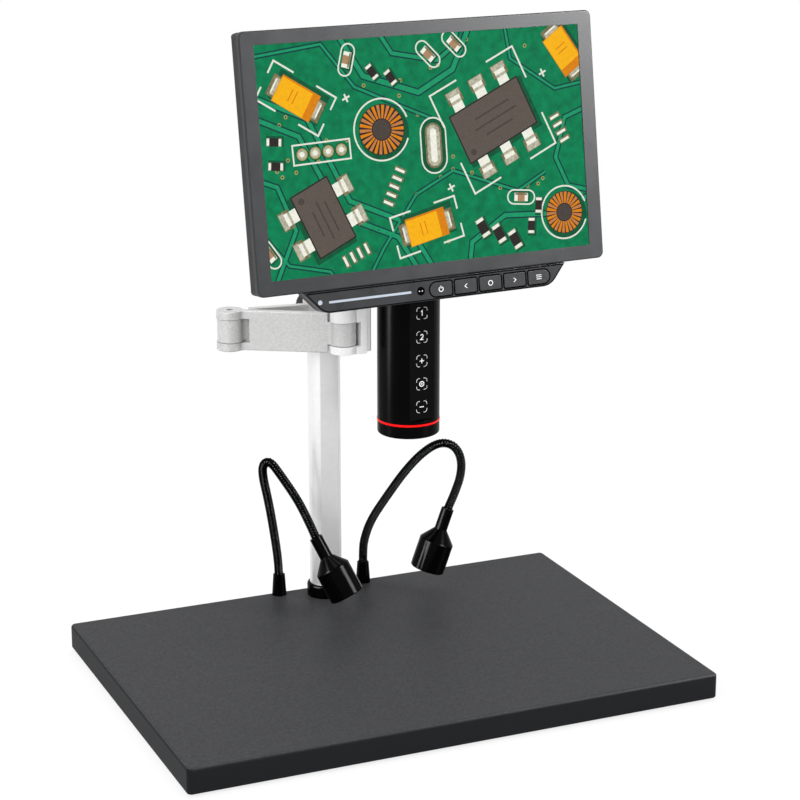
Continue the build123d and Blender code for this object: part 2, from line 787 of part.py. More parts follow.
with BuildPart() as nose_cap:
    with BuildSketch(tube.offset(nose_bottom)):
        Circle(tube_r)
    extrude(amount=nose_h)
    fillet(nose_cap.faces().sort_by(Axis.Z)[0].edges(), nose_edge_r)
    with BuildSketch(tube.offset(nose_bottom + nose_floor)):
        Circle(tube_inner_r)
    extrude(amount=nose_h, mode=Mode.SUBTRACT)
    with BuildSketch(tube.offset(nose_bottom)):
        Circle(nose_hole_r)
    extrude(amount=nose_floor, mode=Mode.SUBTRACT)
save(nose_cap.part, "nose_cap")

with BuildPart() as lens_barrel:
    with BuildSketch(tube.offset(nose_bottom + lens_barrel_recess)):
        Circle(lens_barrel_r)
    extrude(amount=lens_barrel_top - nose_bottom - lens_barrel_recess)
    with BuildSketch(tube.offset(tube_bottom)):
        Circle(tube_inner_r - seat)
        with Locations((0, strip_y + touch_t + flat_wall + seat - tube_r)):
            Rectangle(2 * tube_r, 2 * tube_r, mode=Mode.SUBTRACT)
    extrude(amount=lens_flange_t)
    with BuildSketch(tube.offset(nose_bottom + lens_barrel_recess)):
        Circle(lens_bore_r)
    extrude(amount=lens_barrel_top, mode=Mode.SUBTRACT)
save(lens_barrel.part, "lens_barrel")

lens_bottom = nose_bottom + lens_barrel_recess + lens_setback
lens_profile = Plane(
    origin=tube.from_local_coords(Vector(0, 0, lens_bottom)), x_dir=tube.x_dir, z_dir=-tube.y_dir
)
lens_rise = lens_curve_r - sqrt(lens_curve_r**2 - lens_r**2)

with BuildPart() as front_lens:
    with BuildSketch(lens_profile):
        with BuildLine():
            RadiusArc((0, 0), (lens_r, lens_rise), -lens_curve_r)
            Polyline((lens_r, lens_rise), (lens_r, lens_t), (0, lens_t), (0, 0))
        make_face()
    revolve(axis=Axis(lens_profile.origin, tube.z_dir))
save(front_lens.part, "front_lens")

with BuildPart() as sensor_board:
    with BuildSketch(tube.offset(lens_barrel_top)):
        Rectangle(sensor_board_w, sensor_board_w)
    extrude(amount=sensor_board_t)
save(sensor_board.part, "sensor_board")

# ================= monitor hinge =================

with BuildPart() as tube_cap:
    with BuildSketch(tube.offset(tube_top)):
        Circle(tube_r)
    extrude(amount=cap_disc_t)
    fillet(tube_cap.faces().sort_by(Axis.Z)[-1].edges(), cap_edge_r)
    with BuildSketch(tube.offset(tube_top)):
        with Locations((0, strip_y + touch_t - tube_r)):
            Rectangle(2 * touch_half, 2 * tube_r)
    extrude(amount=cap_disc_t, mode=Mode.SUBTRACT)
    with BuildSketch(tube.offset(tube_top)):
        Circle(tube_inner_r - seat)
        with Locations((0, strip_y + touch_t + flat_wall + seat - tube_r)):
            Rectangle(2 * tube_r, 2 * tube_r, mode=Mode.SUBTRACT)
    extrude(amount=-cap_plug_t)
    for side in (-1, 1):
        inner_face = side * (lug_half + axial + washer_t)
        with BuildSketch(hinge.offset(inner_face)):
            Circle(hinge_r)
            with Locations((0, -hinge_rise / 2)):
                Rectangle(2 * hinge_r, hinge_rise)
            Circle(shaft_r + seat, mode=Mode.SUBTRACT)
        extrude(amount=side * hinge_ear_t)
save(tube_cap.part, "tube_cap")

ear_outer = lug_half + axial + washer_t + hinge_ear_t
with BuildPart() as tilt_shaft:
    with BuildSketch(hinge.offset(-ear_outer - shaft_clip_t)):
        Circle(shaft_r)
    extrude(amount=2 * (ear_outer + shaft_clip_t))
    for clip_x in (-ear_outer - shaft_clip_t, ear_outer):
        with BuildSketch(hinge.offset(clip_x)):
            Circle(shaft_clip_r)
        extrude(amount=shaft_clip_t)
save(tilt_shaft.part, "tilt_shaft")

with BuildPart() as tilt_washers:
    washer_pair(
        hinge, -lug_half - axial, lug_half + axial, shaft_r + seat, hinge_r - hinge_washer_inset, washer_t
    )
save(tilt_washers.part, "tilt_washers")

# ================= monitor =================
frame_w = picture_w + 2 * frame_side
frame_h = picture_h + 2 * frame_end
panel_w = picture_w + 2 * panel_border
panel_h = picture_h + 2 * panel_border
cavity_w = panel_w + 2 * cavity_clear
cavity_h = panel_h + 2 * cavity_clear
cover_front = bezel_front - bezel_t - cover_gap
cover_inner = panel_t + backlight_t + cable_space
cover_back = cover_inner + cover_wall
bulge_back = cover_back + bulge_t
screw_x = (frame_w + cavity_w) / 4
screw_y = (frame_h + cavity_h) / 4
cover_screw_spots = [(frame_x + sx * screw_x, frame_y + sy * screw_y) for sx in (-1, 1) for sy in (-1, 1)]
strip_top = frame_y - frame_h / 2 - body_gap
strip_bottom = strip_top - strip_h
key_y = strip_top - key_drop
led_y = strip_top - led_drop
bar_y = strip_top - bar_drop
key_board_front = (
    strip_face_t - strip_front + body_gap + key_flange_t + key_travel + dome_clear + dome_h
)
strip_t = strip_front + key_board_front + key_board_t + key_board_clear
bulge_h = bulge_top - bulge_bottom
main_board_x = (bulge_w - main_board_w) / 2 - main_board_end
bulge_y = (bulge_top + bulge_bottom) / 2
board_back = main_board_depth + main_board_t
standoff_x = main_board_w / 2 - standoff_inset
standoff_y = main_board_h / 2 - standoff_inset
standoffs = [
    (main_board_x + sx * standoff_x, bulge_y + sy * standoff_y) for sx in (-1, 1) for sy in (-1, 1)
]


def frame_outline(shrink):
    with Locations((frame_x, frame_y)):
        RectangleRounded(frame_w - 2 * shrink, frame_h - 2 * shrink, frame_r - shrink)


def strip_outline(inset):
    # the strip under the picture: slanting ends and two rounded lower corners, inset all round
    with BuildSketch(mode=Mode.PRIVATE) as outline:
        with BuildLine():
            Polyline(
                (strip_top_ends[0], strip_top),
                (strip_top_ends[1], strip_top),
                (strip_bottom_ends[1], strip_bottom),
                (strip_bottom_ends[0], strip_bottom),
                close=True,
            )
        make_face()
        fillet(outline.vertices().group_by(Axis.Y)[0], strip_corner_r)
        if inset:
            offset(amount=-inset, kind=Kind.INTERSECTION, mode=Mode.REPLACE)
    return outline.sketch_local


def key_outline(index, grow):
    # end keys have one fully rounded end, towards the outside of the row
    x = key_first_x + index * key_pitch
    width = key_w + 2 * grow
    height = key_h + 2 * grow
    with BuildSketch(mode=Mode.PRIVATE) as outline:
        with Locations((x, key_y)):
            RectangleRounded(width, height, key_corner_r + grow)
        if index in (0, len(key_names) - 1):
            side = -1 if index == 0 else 1
            with Locations((x + side * (width / 4), key_y)):
                Rectangle(width / 2, height, mode=Mode.SUBTRACT)
            with Locations((x + side * (width / 4 - height / 4), key_y)):
                Rectangle(width / 2 - height / 2, height)
            with Locations((x + side * (width / 2 - height / 2), key_y)):
                Circle(height / 2)
    return outline.sketch_local


with BuildPart() as front_bezel:
    with BuildSketch(screen.offset(bezel_front)):
        frame_outline(0)
    extrude(amount=-bezel_t)
    fillet(front_bezel.faces().sort_by(Axis(screen.origin, screen.z_dir))[-1].edges(), bezel_edge_r)
    with BuildSketch(screen.offset(bezel_front)):
        Rectangle(picture_w, picture_h)
    extrude(amount=-bezel_t, mode=Mode.SUBTRACT)
    with BuildSketch(screen.offset(lip_clear)):
        Rectangle(cavity_w, cavity_h)
    extrude(amount=-bezel_t, mode=Mode.SUBTRACT)
    with BuildSketch(screen.offset(bezel_front - bezel_t)):
        with Locations(*cover_screw_spots):
            Circle(cover_screw_r + seat)
    extrude(amount=bezel_t - bezel_screw_cover, mode=Mode.SUBTRACT)
save(front_bezel.part, "front_bezel")

with BuildPart() as lcd_panel:
    with BuildSketch(screen):
        Rectangle(panel_w, panel_h)
    extrude(amount=-panel_t)
save(lcd_panel.part, "lcd_panel")

with BuildPart() as backlight:
    with BuildSketch(screen.offset(-panel_t)):
        Rectangle(panel_w - 1.0, panel_h - 1.0)
    extrude(amount=-backlight_t)
save(backlight.part, "backlight")

with BuildPart() as rear_cover:
    with BuildSketch(screen.offset(cover_front)):
        frame_outline(cover_inset)
    extrude(amount=-cover_back - cover_front)
    fillet(rear_cover.faces().sort_by(Axis(screen.origin, screen.z_dir))[0].edges(), cover_edge_r)
    with BuildSketch(screen.offset(-cover_back + 1.0)):
        with Locations((0, bulge_y)):
            RectangleRounded(bulge_w, bulge_h, bulge_r)
    extrude(amount=-bulge_back + cover_back - 1.0)
    fillet(rear_cover.faces().sort_by(Axis(screen.origin, screen.z_dir))[0].edges(), bulge_edge_r)
    with BuildPart(mode=Mode.PRIVATE) as strip_back:
        with BuildSketch(screen.offset(-strip_back_gap - strip_t + strip_front)):
            add(strip_outline(0))
        extrude(amount=-strip_back_t)
        fillet(strip_back.faces().sort_by(Axis(screen.origin, screen.z_dir))[0].edges(), strip_back_edge_r)
        with BuildSketch(screen.offset(-strip_back_gap - strip_t + strip_front)):
            with Locations((0, strip_top + strip_web_rise)):
                Rectangle(strip_top_ends[1] - strip_top_ends[0] - 2 * strip_web_inset, strip_web_h)
        extrude(amount=-strip_back_t)
    add(strip_back.part)
    with BuildSketch(screen.offset(cover_front)):
        Rectangle(cavity_w, cavity_h)
    extrude(amount=-cover_inner - cover_front, mode=Mode.SUBTRACT)
    with BuildSketch(screen.offset(-cover_inner)):
        with Locations((0, bulge_y)):
            RectangleRounded(bulge_w - 2 * bulge_wall, bulge_h - 2 * bulge_wall, bulge_r - bulge_wall)
    extrude(amount=-bulge_back + bulge_wall + cover_inner, mode=Mode.SUBTRACT)
    with BuildSketch(screen.offset(-board_back)):
        with Locations(*standoffs):
            Circle(standoff_r)
    extrude(amount=-bulge_back + bulge_wall + board_back)
    with BuildSketch(screen.offset(-bulge_back)):
        with Locations((0, vent_y)):
            with GridLocations(vent_pitch, 0, vent_count, 1):
                SlotOverall(vent_l, vent_w, rotation=90)
    extrude(amount=bulge_wall, mode=Mode.SUBTRACT)
    for port_w, port_h, port_y in ports:
        with BuildSketch(screen.offset(-board_back + port_clear)):
            with Locations((bulge_w / 2, bulge_y + port_y)):
                Rectangle(port_cut_l, port_w + 2 * port_clear)
        extrude(amount=-port_h - 2 * port_clear, mode=Mode.SUBTRACT)
    with BuildSketch(screen.offset(cover_front)):
        with Locations(*cover_screw_spots):
            Circle(cover_screw_r + seat)
    extrude(amount=-cover_back, mode=Mode.SUBTRACT)
    with BuildSketch(screen.offset(-cover_back)):
        with Locations(*cover_screw_spots):
            Circle(cover_screw_head_r + seat)
    extrude(amount=cover_screw_head_h, mode=Mode.SUBTRACT)
    lug_tilt = tan(radians(screen_tilt))
    back_at_hinge = screen_y - hinge_y - screen_rise * lug_tilt + cover_back / cos(radians(screen_tilt))
    with BuildSketch(hinge.offset(-lug_half)):
        Circle(hinge_r - lug_clear)
        with BuildLine():
            Polyline(
                (back_at_hinge - lug_root_in + lug_root_half * lug_tilt, lug_root_half),
                (back_at_hinge - lug_root_in - lug_root_half * lug_tilt, -lug_root_half),
                (back_at_hinge - lug_root_depth, 0),
                close=True,
            )
        make_face()
        make_hull()
    extrude(amount=2 * lug_half)
    with BuildSketch(hinge.offset(-lug_half)):
        Circle(shaft_r + running)
    extrude(amount=2 * lug_half, mode=Mode.SUBTRACT)
save(rear_cover.part, "rear_cover")

with BuildPart() as main_board:
    with BuildSketch(screen.offset(-main_board_depth)):
        with Locations((main_board_x, bulge_y)):
            Rectangle(main_board_w, main_board_h)
    extrude(amount=-main_board_t)
    with BuildSketch(screen.offset(-main_board_depth)):
        with Locations(*[(main_board_x + x, bulge_y + y) for x, y in chip_spots]):
            Rectangle(chip_s, chip_s)
    extrude(amount=chip_t)
save(main_board.part, "main_board")

with BuildPart() as rear_ports:
    for port_w, port_h, port_y in ports:
        with BuildSketch(screen.offset(-board_back)):
            with Locations((bulge_w / 2 - port_l / 2 - port_inset, bulge_y + port_y)):
                Rectangle(port_l, port_w)
        extrude(amount=-port_h)
        port_mouth = Plane(
            origin=screen.from_local_coords(
                Vector(bulge_w / 2 - port_inset, bulge_y + port_y, -board_back - port_h / 2)
            ),
            x_dir=screen.y_dir,
            z_dir=screen.x_dir,
        )
        with BuildSketch(port_mouth):
            Rectangle(port_w - 2 * port_rim, port_h - 2 * port_rim)
        extrude(amount=-port_mouth_l, mode=Mode.SUBTRACT)
save(rear_ports.part, "rear_ports")

with BuildPart() as cover_screws:
    with BuildSketch(screen.offset(-cover_back + cover_screw_head_h)):
        with Locations(*cover_screw_spots):
            Circle(cover_screw_head_r)
    extrude(amount=-cover_screw_head_h)
    with BuildSketch(screen.offset(-cover_back + cover_screw_head_h)):
        with Locations(*cover_screw_spots):
            Circle(cover_screw_r)
    extrude(amount=cover_back - cover_screw_head_h + bezel_front - bezel_screw_cover - body_gap)
save(cover_screws.part, "cover_screws")

with BuildPart() as control_strip:
    with BuildSketch(screen.offset(strip_front)):
        add(strip_outline(0))
    extrude(amount=-strip_t)
    fillet(control_strip.faces().sort_by(Axis(screen.origin, screen.z_dir))[-1].edges(), strip_edge_r)
    with BuildSketch(screen.offset(strip_front - strip_face_t)):
        add(strip_outline(strip_wall))
    extrude(amount=-strip_t, mode=Mode.SUBTRACT)
    with BuildSketch(screen.offset(strip_front)):
        for index in range(len(key_names)):
            add(key_outline(index, key_gap))
        with Locations((led_x, led_y)):
            Circle(led_r + seat)
        with Locations(((bar_ends[0] + bar_ends[1]) / 2, bar_y)):
            SlotOverall(bar_ends[1] - bar_ends[0] + 2 * seat, bar_t + 2 * seat)
        with Locations((ir_x, bar_y)):
            Circle(ir_r + seat)
    extrude(amount=-strip_face_t, mode=Mode.SUBTRACT)
save(control_strip.part, "control_strip")

with BuildPart() as key_board:
    with BuildSketch(screen.offset(-key_board_front)):
        add(strip_outline(strip_wall + seat))
    extrude(amount=-key_board_t)
    with BuildSketch(screen.offset(-key_board_front)):
        with Locations(*[(key_first_x + i * key_pitch, key_y) for i in range(len(key_names))]):
            Circle(dome_r)
    extrude(amount=dome_h)
save(key_board.part, "key_board")

lens_depth = strip_front + key_board_front
with BuildPart() as status_led:
    with BuildSketch(screen.offset(strip_front)):
        with Locations((led_x, led_y)):
            Circle(led_r)
    extrude(amount=-lens_depth)
save(status_led.part, "status_led")

with BuildPart() as light_bar:
    with BuildSketch(screen.offset(strip_front)):
        with Locations(((bar_ends[0] + bar_ends[1]) / 2, bar_y)):
            SlotOverall(bar_ends[1] - bar_ends[0], bar_t)
    extrude(amount=-lens_depth)
save(light_bar.part, "light_bar")

with BuildPart() as ir_window:
    with BuildSketch(screen.offset(strip_front)):
        with Locations((ir_x, bar_y)):
            Circle(ir_r)
    extrude(amount=-lens_depth)
save(ir_window.part, "ir_window")

for index, key_name in enumerate(key_names):
    with BuildPart() as key:
        with BuildSketch(screen.offset(strip_front + key_proud)):
            add(key_outline(index, 0))
        extrude(amount=-key_proud - strip_face_t - body_gap)
        fillet(key.faces().sort_by(Axis(screen.origin, screen.z_dir))[-1].edges(), key_edge_r)
        with BuildSketch(screen.offset(strip_front - strip_face_t - body_gap)):
            add(key_outline(index, key_flange))
        extrude(amount=-key_flange_t)
    save(key.part, f"key_{key_name}")


# ================= lamps =================
def bend_radii(points):
    # an arc at each inner point, as large as its two runs allow
    radii = []
    for before, corner, after in zip(points, points[1:], points[2:]):
        arriving = Vector(*corner) - Vector(*before)
        leaving = Vector(*after) - Vector(*corner)
        half_turn = radians(arriving.get_angle(leaving)) / 2
        radii.append(neck_bend_share * min(arriving.length, leaving.length) / tan(half_turn))
    return radii


def lamp_head_planes(pivot, aim):
    # profile plane whose Y runs along the lamp's axis, and that axis
    along = Vector(*aim).normalized()
    across = along.cross(Vector(0, 0, 1)).normalized()
    return Plane(origin=pivot, x_dir=across, z_dir=across.cross(along)), Axis(pivot, along)


def revolved(profile_plane, axis, points):
    with BuildPart() as turned:
        with BuildSketch(profile_plane):
            with BuildLine():
                Polyline(*points, close=True)
            make_face()
        revolve(axis=axis)
    return turned.part


def build_lamp(side, ferrule_x, route, aim):
    foot_z = base_top + ferrule_h - ferrule_bore_h + body_gap
    straight_top = base_top + ferrule_h + 2 * neck_r
    points = [(ferrule_x, lamp_y, foot_z), (ferrule_x, lamp_y, straight_top)] + route
    radii = bend_radii(points)
    pivot = Vector(*route[-1])
    with BuildPart() as neck:
        with BuildLine() as centre_line:
            FilletPolyline(*points, radius=radii)
        with BuildSketch(Plane(origin=points[0], z_dir=(0, 0, 1))):
            Circle(neck_r)
        sweep(path=centre_line.wires()[0])
        with Locations(Location(pivot)):
            Sphere(lamp_ball_r)
    save(neck.part, f"{side}_neck")

    plane, axis = lamp_head_planes(pivot, aim)
    cup_r = sqrt((lamp_ball_r + 2 * running) ** 2 - stem_start**2)
    cone_end = stem_l + cone_l
    inner_r = barrel_r - head_wall
    shell = [
        (0, lamp_ball_r + 2 * running),
        (cup_r, stem_start),
        (stem_r, stem_start),
        (stem_r, stem_l),
        (barrel_r - cone_step_w, cone_end),
        (barrel_r, cone_end + cone_step_l),
        (barrel_r, barrel_end),
        (inner_r, barrel_end),
        (inner_r, lamp_cavity_s),
        (0, lamp_cavity_s),
    ]
    with BuildPart() as lamp_shell:
        add(revolved(plane, axis, shell))
        with Locations(Location(pivot)):
            Sphere(lamp_ball_r + 2 * running, mode=Mode.SUBTRACT)
    save(lamp_shell.part, f"{side}_lamp_shell")

    ring = [
        (inner_r - seat, barrel_end - lamp_ring_seat),
        (inner_r - seat, barrel_end),
        (lamp_ring_r, barrel_end),
        (lamp_ring_r, head_l - lamp_ring_edge),
        (lamp_ring_r - lamp_ring_edge, head_l),
        (inner_r - lamp_ring_mouth, head_l),
        (inner_r - lamp_ring_lip, head_l - lamp_ring_mouth_l),
        (inner_r - lamp_ring_lip, barrel_end - lamp_ring_seat),
    ]
    save(revolved(plane, axis, ring), f"{side}_lamp_ring")

    lens_end = barrel_end - lamp_ring_seat
    lens = [
        (0, lens_end - lamp_lens_t),
        (inner_r - seat, lens_end - lamp_lens_t),
        (inner_r - seat, lens_end),
        (0, lens_end),
    ]
    save(revolved(plane, axis, lens), f"{side}_lamp_lens")

    board = [
        (0, lamp_cavity_s),
        (inner_r - seat, lamp_cavity_s),
        (inner_r - seat, lamp_cavity_s + lamp_board_t),
        (led_foot_r, lamp_cavity_s + lamp_board_t),
        (led_face_r, lamp_cavity_s + 2 * lamp_board_t),
        (0, lamp_cavity_s + 2 * lamp_board_t),
    ]
    save(revolved(plane, axis, board), f"{side}_led_board")


lamps = (
    ("left", ferrule_xs[0], left_neck_route, left_head_aim),
    ("right", ferrule_xs[1], right_neck_route, right_head_aim),
)
for side, ferrule_x, route, aim in lamps:
    build_lamp(side, ferrule_x, route, aim)
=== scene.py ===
# Bench microscope with its own display: camera, light, finishes and the fine detail of each piece.
import math
import random

import bmesh
import bpy
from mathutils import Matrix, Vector


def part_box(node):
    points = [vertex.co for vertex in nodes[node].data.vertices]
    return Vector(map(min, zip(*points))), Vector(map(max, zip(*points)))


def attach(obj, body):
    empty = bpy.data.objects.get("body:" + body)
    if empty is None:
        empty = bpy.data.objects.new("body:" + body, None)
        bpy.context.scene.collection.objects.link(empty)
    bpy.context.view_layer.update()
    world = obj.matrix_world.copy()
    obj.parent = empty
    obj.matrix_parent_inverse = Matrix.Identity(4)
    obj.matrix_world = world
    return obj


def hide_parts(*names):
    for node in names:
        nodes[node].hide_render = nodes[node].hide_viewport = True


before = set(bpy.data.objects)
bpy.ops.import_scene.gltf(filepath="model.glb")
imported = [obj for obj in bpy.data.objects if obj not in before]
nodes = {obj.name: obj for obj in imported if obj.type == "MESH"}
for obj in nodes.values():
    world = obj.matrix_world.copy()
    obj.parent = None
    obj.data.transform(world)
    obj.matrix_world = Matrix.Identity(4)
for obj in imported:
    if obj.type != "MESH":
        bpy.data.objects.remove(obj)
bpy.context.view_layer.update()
mm = 0.001
print("frame loaded:", len(nodes), "nodes")


def addObject(name, data):
    thing = bpy.data.objects.new(name, data)
    bpy.context.scene.collection.objects.link(thing)
    return thing


def setSockets(node, values):
    for socket, value in values.items():
        node.inputs[socket].default_value = value


def mapValue(tree, source, fromRange, toRange):
    spread = tree.nodes.new("ShaderNodeMapRange")
    ends = zip(("From Min", "From Max", "To Min", "To Max"), (*fromRange, *toRange))
    setSockets(spread, dict(ends))
    tree.links.new(source, spread.inputs["Value"])
    return spread.outputs[0]


def mathNode(tree, operation, first, second):
    # second is another node's output, or a number
    step = tree.nodes.new("ShaderNodeMath")
    step.operation = operation
    tree.links.new(first, step.inputs[0])
    if isinstance(second, float):
        step.inputs[1].default_value = second
    else:
        tree.links.new(second, step.inputs[1])
    return step.outputs[0]


def seenDirectly(tree):
    # 1 where the camera, a reflection or a clear piece looks straight at the surface
    rays = tree.nodes.new("ShaderNodeLightPath").outputs
    sight = mathNode(tree, "MAXIMUM", rays["Is Camera Ray"], rays["Is Glossy Ray"])
    return mathNode(tree, "MAXIMUM", sight, rays["Is Transmission Ray"])


def mixShaders(tree, factor, first, second, output):
    mix = tree.nodes.new("ShaderNodeMixShader")
    for socket, source in enumerate((factor, first, second)):
        tree.links.new(source, mix.inputs[socket])
    tree.links.new(mix.outputs[0], tree.nodes[output].inputs["Surface"])


# camera
cameraLook = {
    "place": (-0.5117, -1.1969, 0.5511),
    "turn": 23.54, "down": 16.16,  # degrees to the right of straight back, and below level
    "lens": 103.45, "farthest": 30,
}


def lookRotation(direction):
    return Vector(direction).to_track_quat("-Z", "Y").to_euler()


def placeCamera():
    turn = math.radians(cameraLook["turn"])
    drop = math.radians(cameraLook["down"])
    direction = (math.sin(turn) * math.cos(drop), math.cos(turn) * math.cos(drop), -math.sin(drop))
    lens = bpy.data.cameras.new("benchCamera")
    lens.lens = cameraLook["lens"]
    lens.clip_end = cameraLook["farthest"]
    camera = addObject("benchCamera", lens)
    camera.location = cameraLook["place"]
    camera.rotation_euler = lookRotation(direction)
    bpy.context.scene.camera = camera


# floor: its paper keeps the object's shadow near it and turns plain white further out
floorLook = {
    "size": 12.0, "height": -0.0002, "shade": 0.82, "roughness": 0.9, "specular": 0.1,
    "fade": (0.28, 0.75), "white": (0.80, 1.0),  # metres from the middle, and the white there
}


def layFloor():
    look = floorLook
    bpy.ops.mesh.primitive_plane_add(size=look["size"], location=(0, 0, look["height"]))
    floor = bpy.context.object
    floor.name = "floor"
    paper = bpy.data.materials.new("floorPaper")
    paper.use_nodes = True
    tree = paper.node_tree
    shader = tree.nodes["Principled BSDF"]
    shade = look["shade"]
    setSockets(shader, {"Base Color": (shade, shade, shade, 1), "Roughness": look["roughness"],
                        "Specular IOR Level": look["specular"]})
    glow = tree.nodes.new("ShaderNodeEmission")
    place = tree.nodes.new("ShaderNodeTexCoord")
    reach = tree.nodes.new("ShaderNodeVectorMath")
    reach.operation = "LENGTH"
    tree.links.new(place.outputs["Object"], reach.inputs[0])
    white = mapValue(tree, reach.outputs["Value"], look["fade"], look["white"])
    share = mathNode(tree, "MULTIPLY", white, seenDirectly(tree))
    mixShaders(tree, share, shader.outputs[0], glow.outputs[0], "Material Output")
    floor.data.materials.append(paper)


# light from all round, a little stronger from the back
worldLook = {"depth": (-0.7, 0.6), "shade": (0.55, 0.85)}


def lightWorld():
    look = worldLook
    world = bpy.data.worlds.new("studio")
    bpy.context.scene.world = world
    world.use_nodes = True
    tree = world.node_tree
    ground = tree.nodes["Background"]
    ground.inputs["Strength"].default_value = 1.0
    place = tree.nodes.new("ShaderNodeTexCoord")
    split = tree.nodes.new("ShaderNodeSeparateXYZ")
    tree.links.new(place.outputs["Generated"], split.inputs[0])
    shade = mapValue(tree, split.outputs["Y"], look["depth"], look["shade"])
    tree.links.new(shade, ground.inputs["Color"])
    white = tree.nodes.new("ShaderNodeBackground")
    white.inputs["Color"].default_value = (1, 1, 1, 1)
    mixShaders(tree, seenDirectly(tree), ground.outputs[0], white.outputs[0], "World Output")


# place, aim, size and watts; one that also names a group of pieces only gleams, and only on those
softboxes = {
    "keyBox": ((-1.45, -0.78, 1.0), (0, 0.05, 0.2), (0.8, 0.9), 25),
    "rightBox": ((1.35, -1.05, 1.05), (0, 0, 0.3), (0.75, 0.8), 16),
    "topBox": ((0.1, 0.3, 1.9), (0, 0, 0.1), (1.2, 1.0), 15),
    "leftTube": ((-0.62, 0.16, 0.28), (0.04, 0.06, 0.2), (0.10, 0.62), 8.5, "tube"),
    "rightTube": ((0.50, -0.45, 0.30), (0.04, 0.08, 0.15), (0.07, 0.62), 7, "tube"),
    "lampTube": ((-0.62, 0, 0.30), (0, 0.08, 0.1), (0.46, 0.62), 42, "lamp"),
    "lampSide": ((0.50, -0.45, 0.30), (0.04, 0.08, 0.1), (0.28, 0.62), 24, "lamp"),
    "neckTube": ((-0.60, -0.40, 0.30), (0, 0.08, 0.1), (0.16, 0.46), 340, "neck"),
    "neckSide": ((0.50, -0.45, 0.30), (0.04, 0.08, 0.1), (0.14, 0.46), 260, "neck"),
    "bezelBox": ((1.28, -1.00, 0.84), (0.04, 0.06, 0.33), (0.42, 0.42), 150, "screen"),
}
gleamTakers = {gleam: bpy.data.collections.new(gleam + "GleamTakers")
               for gleam in ("tube", "lamp", "neck", "screen")}


def hangSoftboxes():
    for name, (place, aim, size, watts, *gleam) in softboxes.items():
        lamp = bpy.data.lights.new(name, "AREA")
        lamp.shape = "RECTANGLE"
        lamp.size, lamp.size_y = size
        lamp.energy = watts
        holder = addObject(name, lamp)
        holder.location = place
        holder.rotation_euler = lookRotation(Vector(aim) - Vector(place))
        holder.visible_camera = False
        if gleam:
            holder.visible_diffuse = False
            holder.light_linking.receiver_collection = gleamTakers[gleam[0]]


bpy.context.scene.view_settings.view_transform = "Standard"
placeCamera()
layFloor()
lightWorld()
hangSoftboxes()
print("camera, floor and lights placed")

# finishes; what each has unless its own look says otherwise, with lengths in millimetres
plainLook = {
    "spread": 0.1,  # how far the colour drifts to both sides
    "cloud": 10,
    "grain": 0.6,
    "depth": 0.01,  # height of the bump
    "strength": 0.5,
    "metal": 0.0,
    "specular": 0.5,
    "roughChange": 0.04,
}
smudgeSize = 0.6  # beside the size of the clouds
noiseDetail = {"cloud": 3.0, "smudge": 4.0, "grain": 2.0, "dust": 3.0, "ink": 5.0}
noiseRange = (0.3, 0.7)  # where most of a noise's values lie
edgeSamples = 4
# upright faces of a look with a side colour are drawn darker, as painted shade
uprightBelow = 0.7  # a face whose normal's Z is lower than this counts as upright


def addNoise(tree, place, grain, detail):
    # grain is the size of one grain in millimetres
    scale = tree.nodes.new("ShaderNodeMapping")
    scale.inputs["Scale"].default_value = [1 / (grain * mm)] * 3
    noise = tree.nodes.new("ShaderNodeTexNoise")
    noise.inputs["Scale"].default_value = 1.0
    noise.inputs["Detail"].default_value = detail
    tree.links.new(place.outputs["Object"], scale.inputs["Vector"])
    tree.links.new(scale.outputs["Vector"], noise.inputs["Vector"])
    return noise.outputs["Fac"]


def mixColours(tree, factor, first, second):
    # second is another node's output, or a colour
    mix = tree.nodes.new("ShaderNodeMix")
    mix.data_type = "RGBA"
    mix.inputs["A"].default_value = (*first, 1)
    if isinstance(second, bpy.types.NodeSocket):
        tree.links.new(second, mix.inputs["B"])
    else:
        mix.inputs["B"].default_value = (*second, 1)
    tree.links.new(factor, mix.inputs["Factor"])
    return mix.outputs["Result"]


def startFinish(name, roughness, metal=0.0, specular=0.5):
    finish = bpy.data.materials.new(name)
    finish.use_nodes = True
    tree = finish.node_tree
    shader = tree.nodes["Principled BSDF"]
    setSockets(shader, {"Roughness": roughness, "Metallic": metal, "Specular IOR Level": specular})
    place = tree.nodes.new("ShaderNodeTexCoord")
    return finish, tree, shader, place


def cloudyColour(tree, place, colour, spread, cloud, detail):
    # a colour that drifts a little to both sides
    noise = addNoise(tree, place, cloud, detail)
    darker = [part * (1 - spread) for part in colour]
    lighter = [min(1.0, part * (1 + spread)) for part in colour]
    return mixColours(tree, mapValue(tree, noise, noiseRange, (0, 1)), darker, lighter)


def paintedSideShade(tree, tint, side):
    # upright faces take a darker colour: painted shade for the lesser light that falls on the sides
    facing = tree.nodes.new("ShaderNodeNewGeometry")
    split = tree.nodes.new("ShaderNodeSeparateXYZ")
    tree.links.new(facing.outputs["True Normal"], split.inputs[0])
    flat = mathNode(tree, "GREATER_THAN", split.outputs["Z"], uprightBelow)
    return mixColours(tree, flat, side, tint)


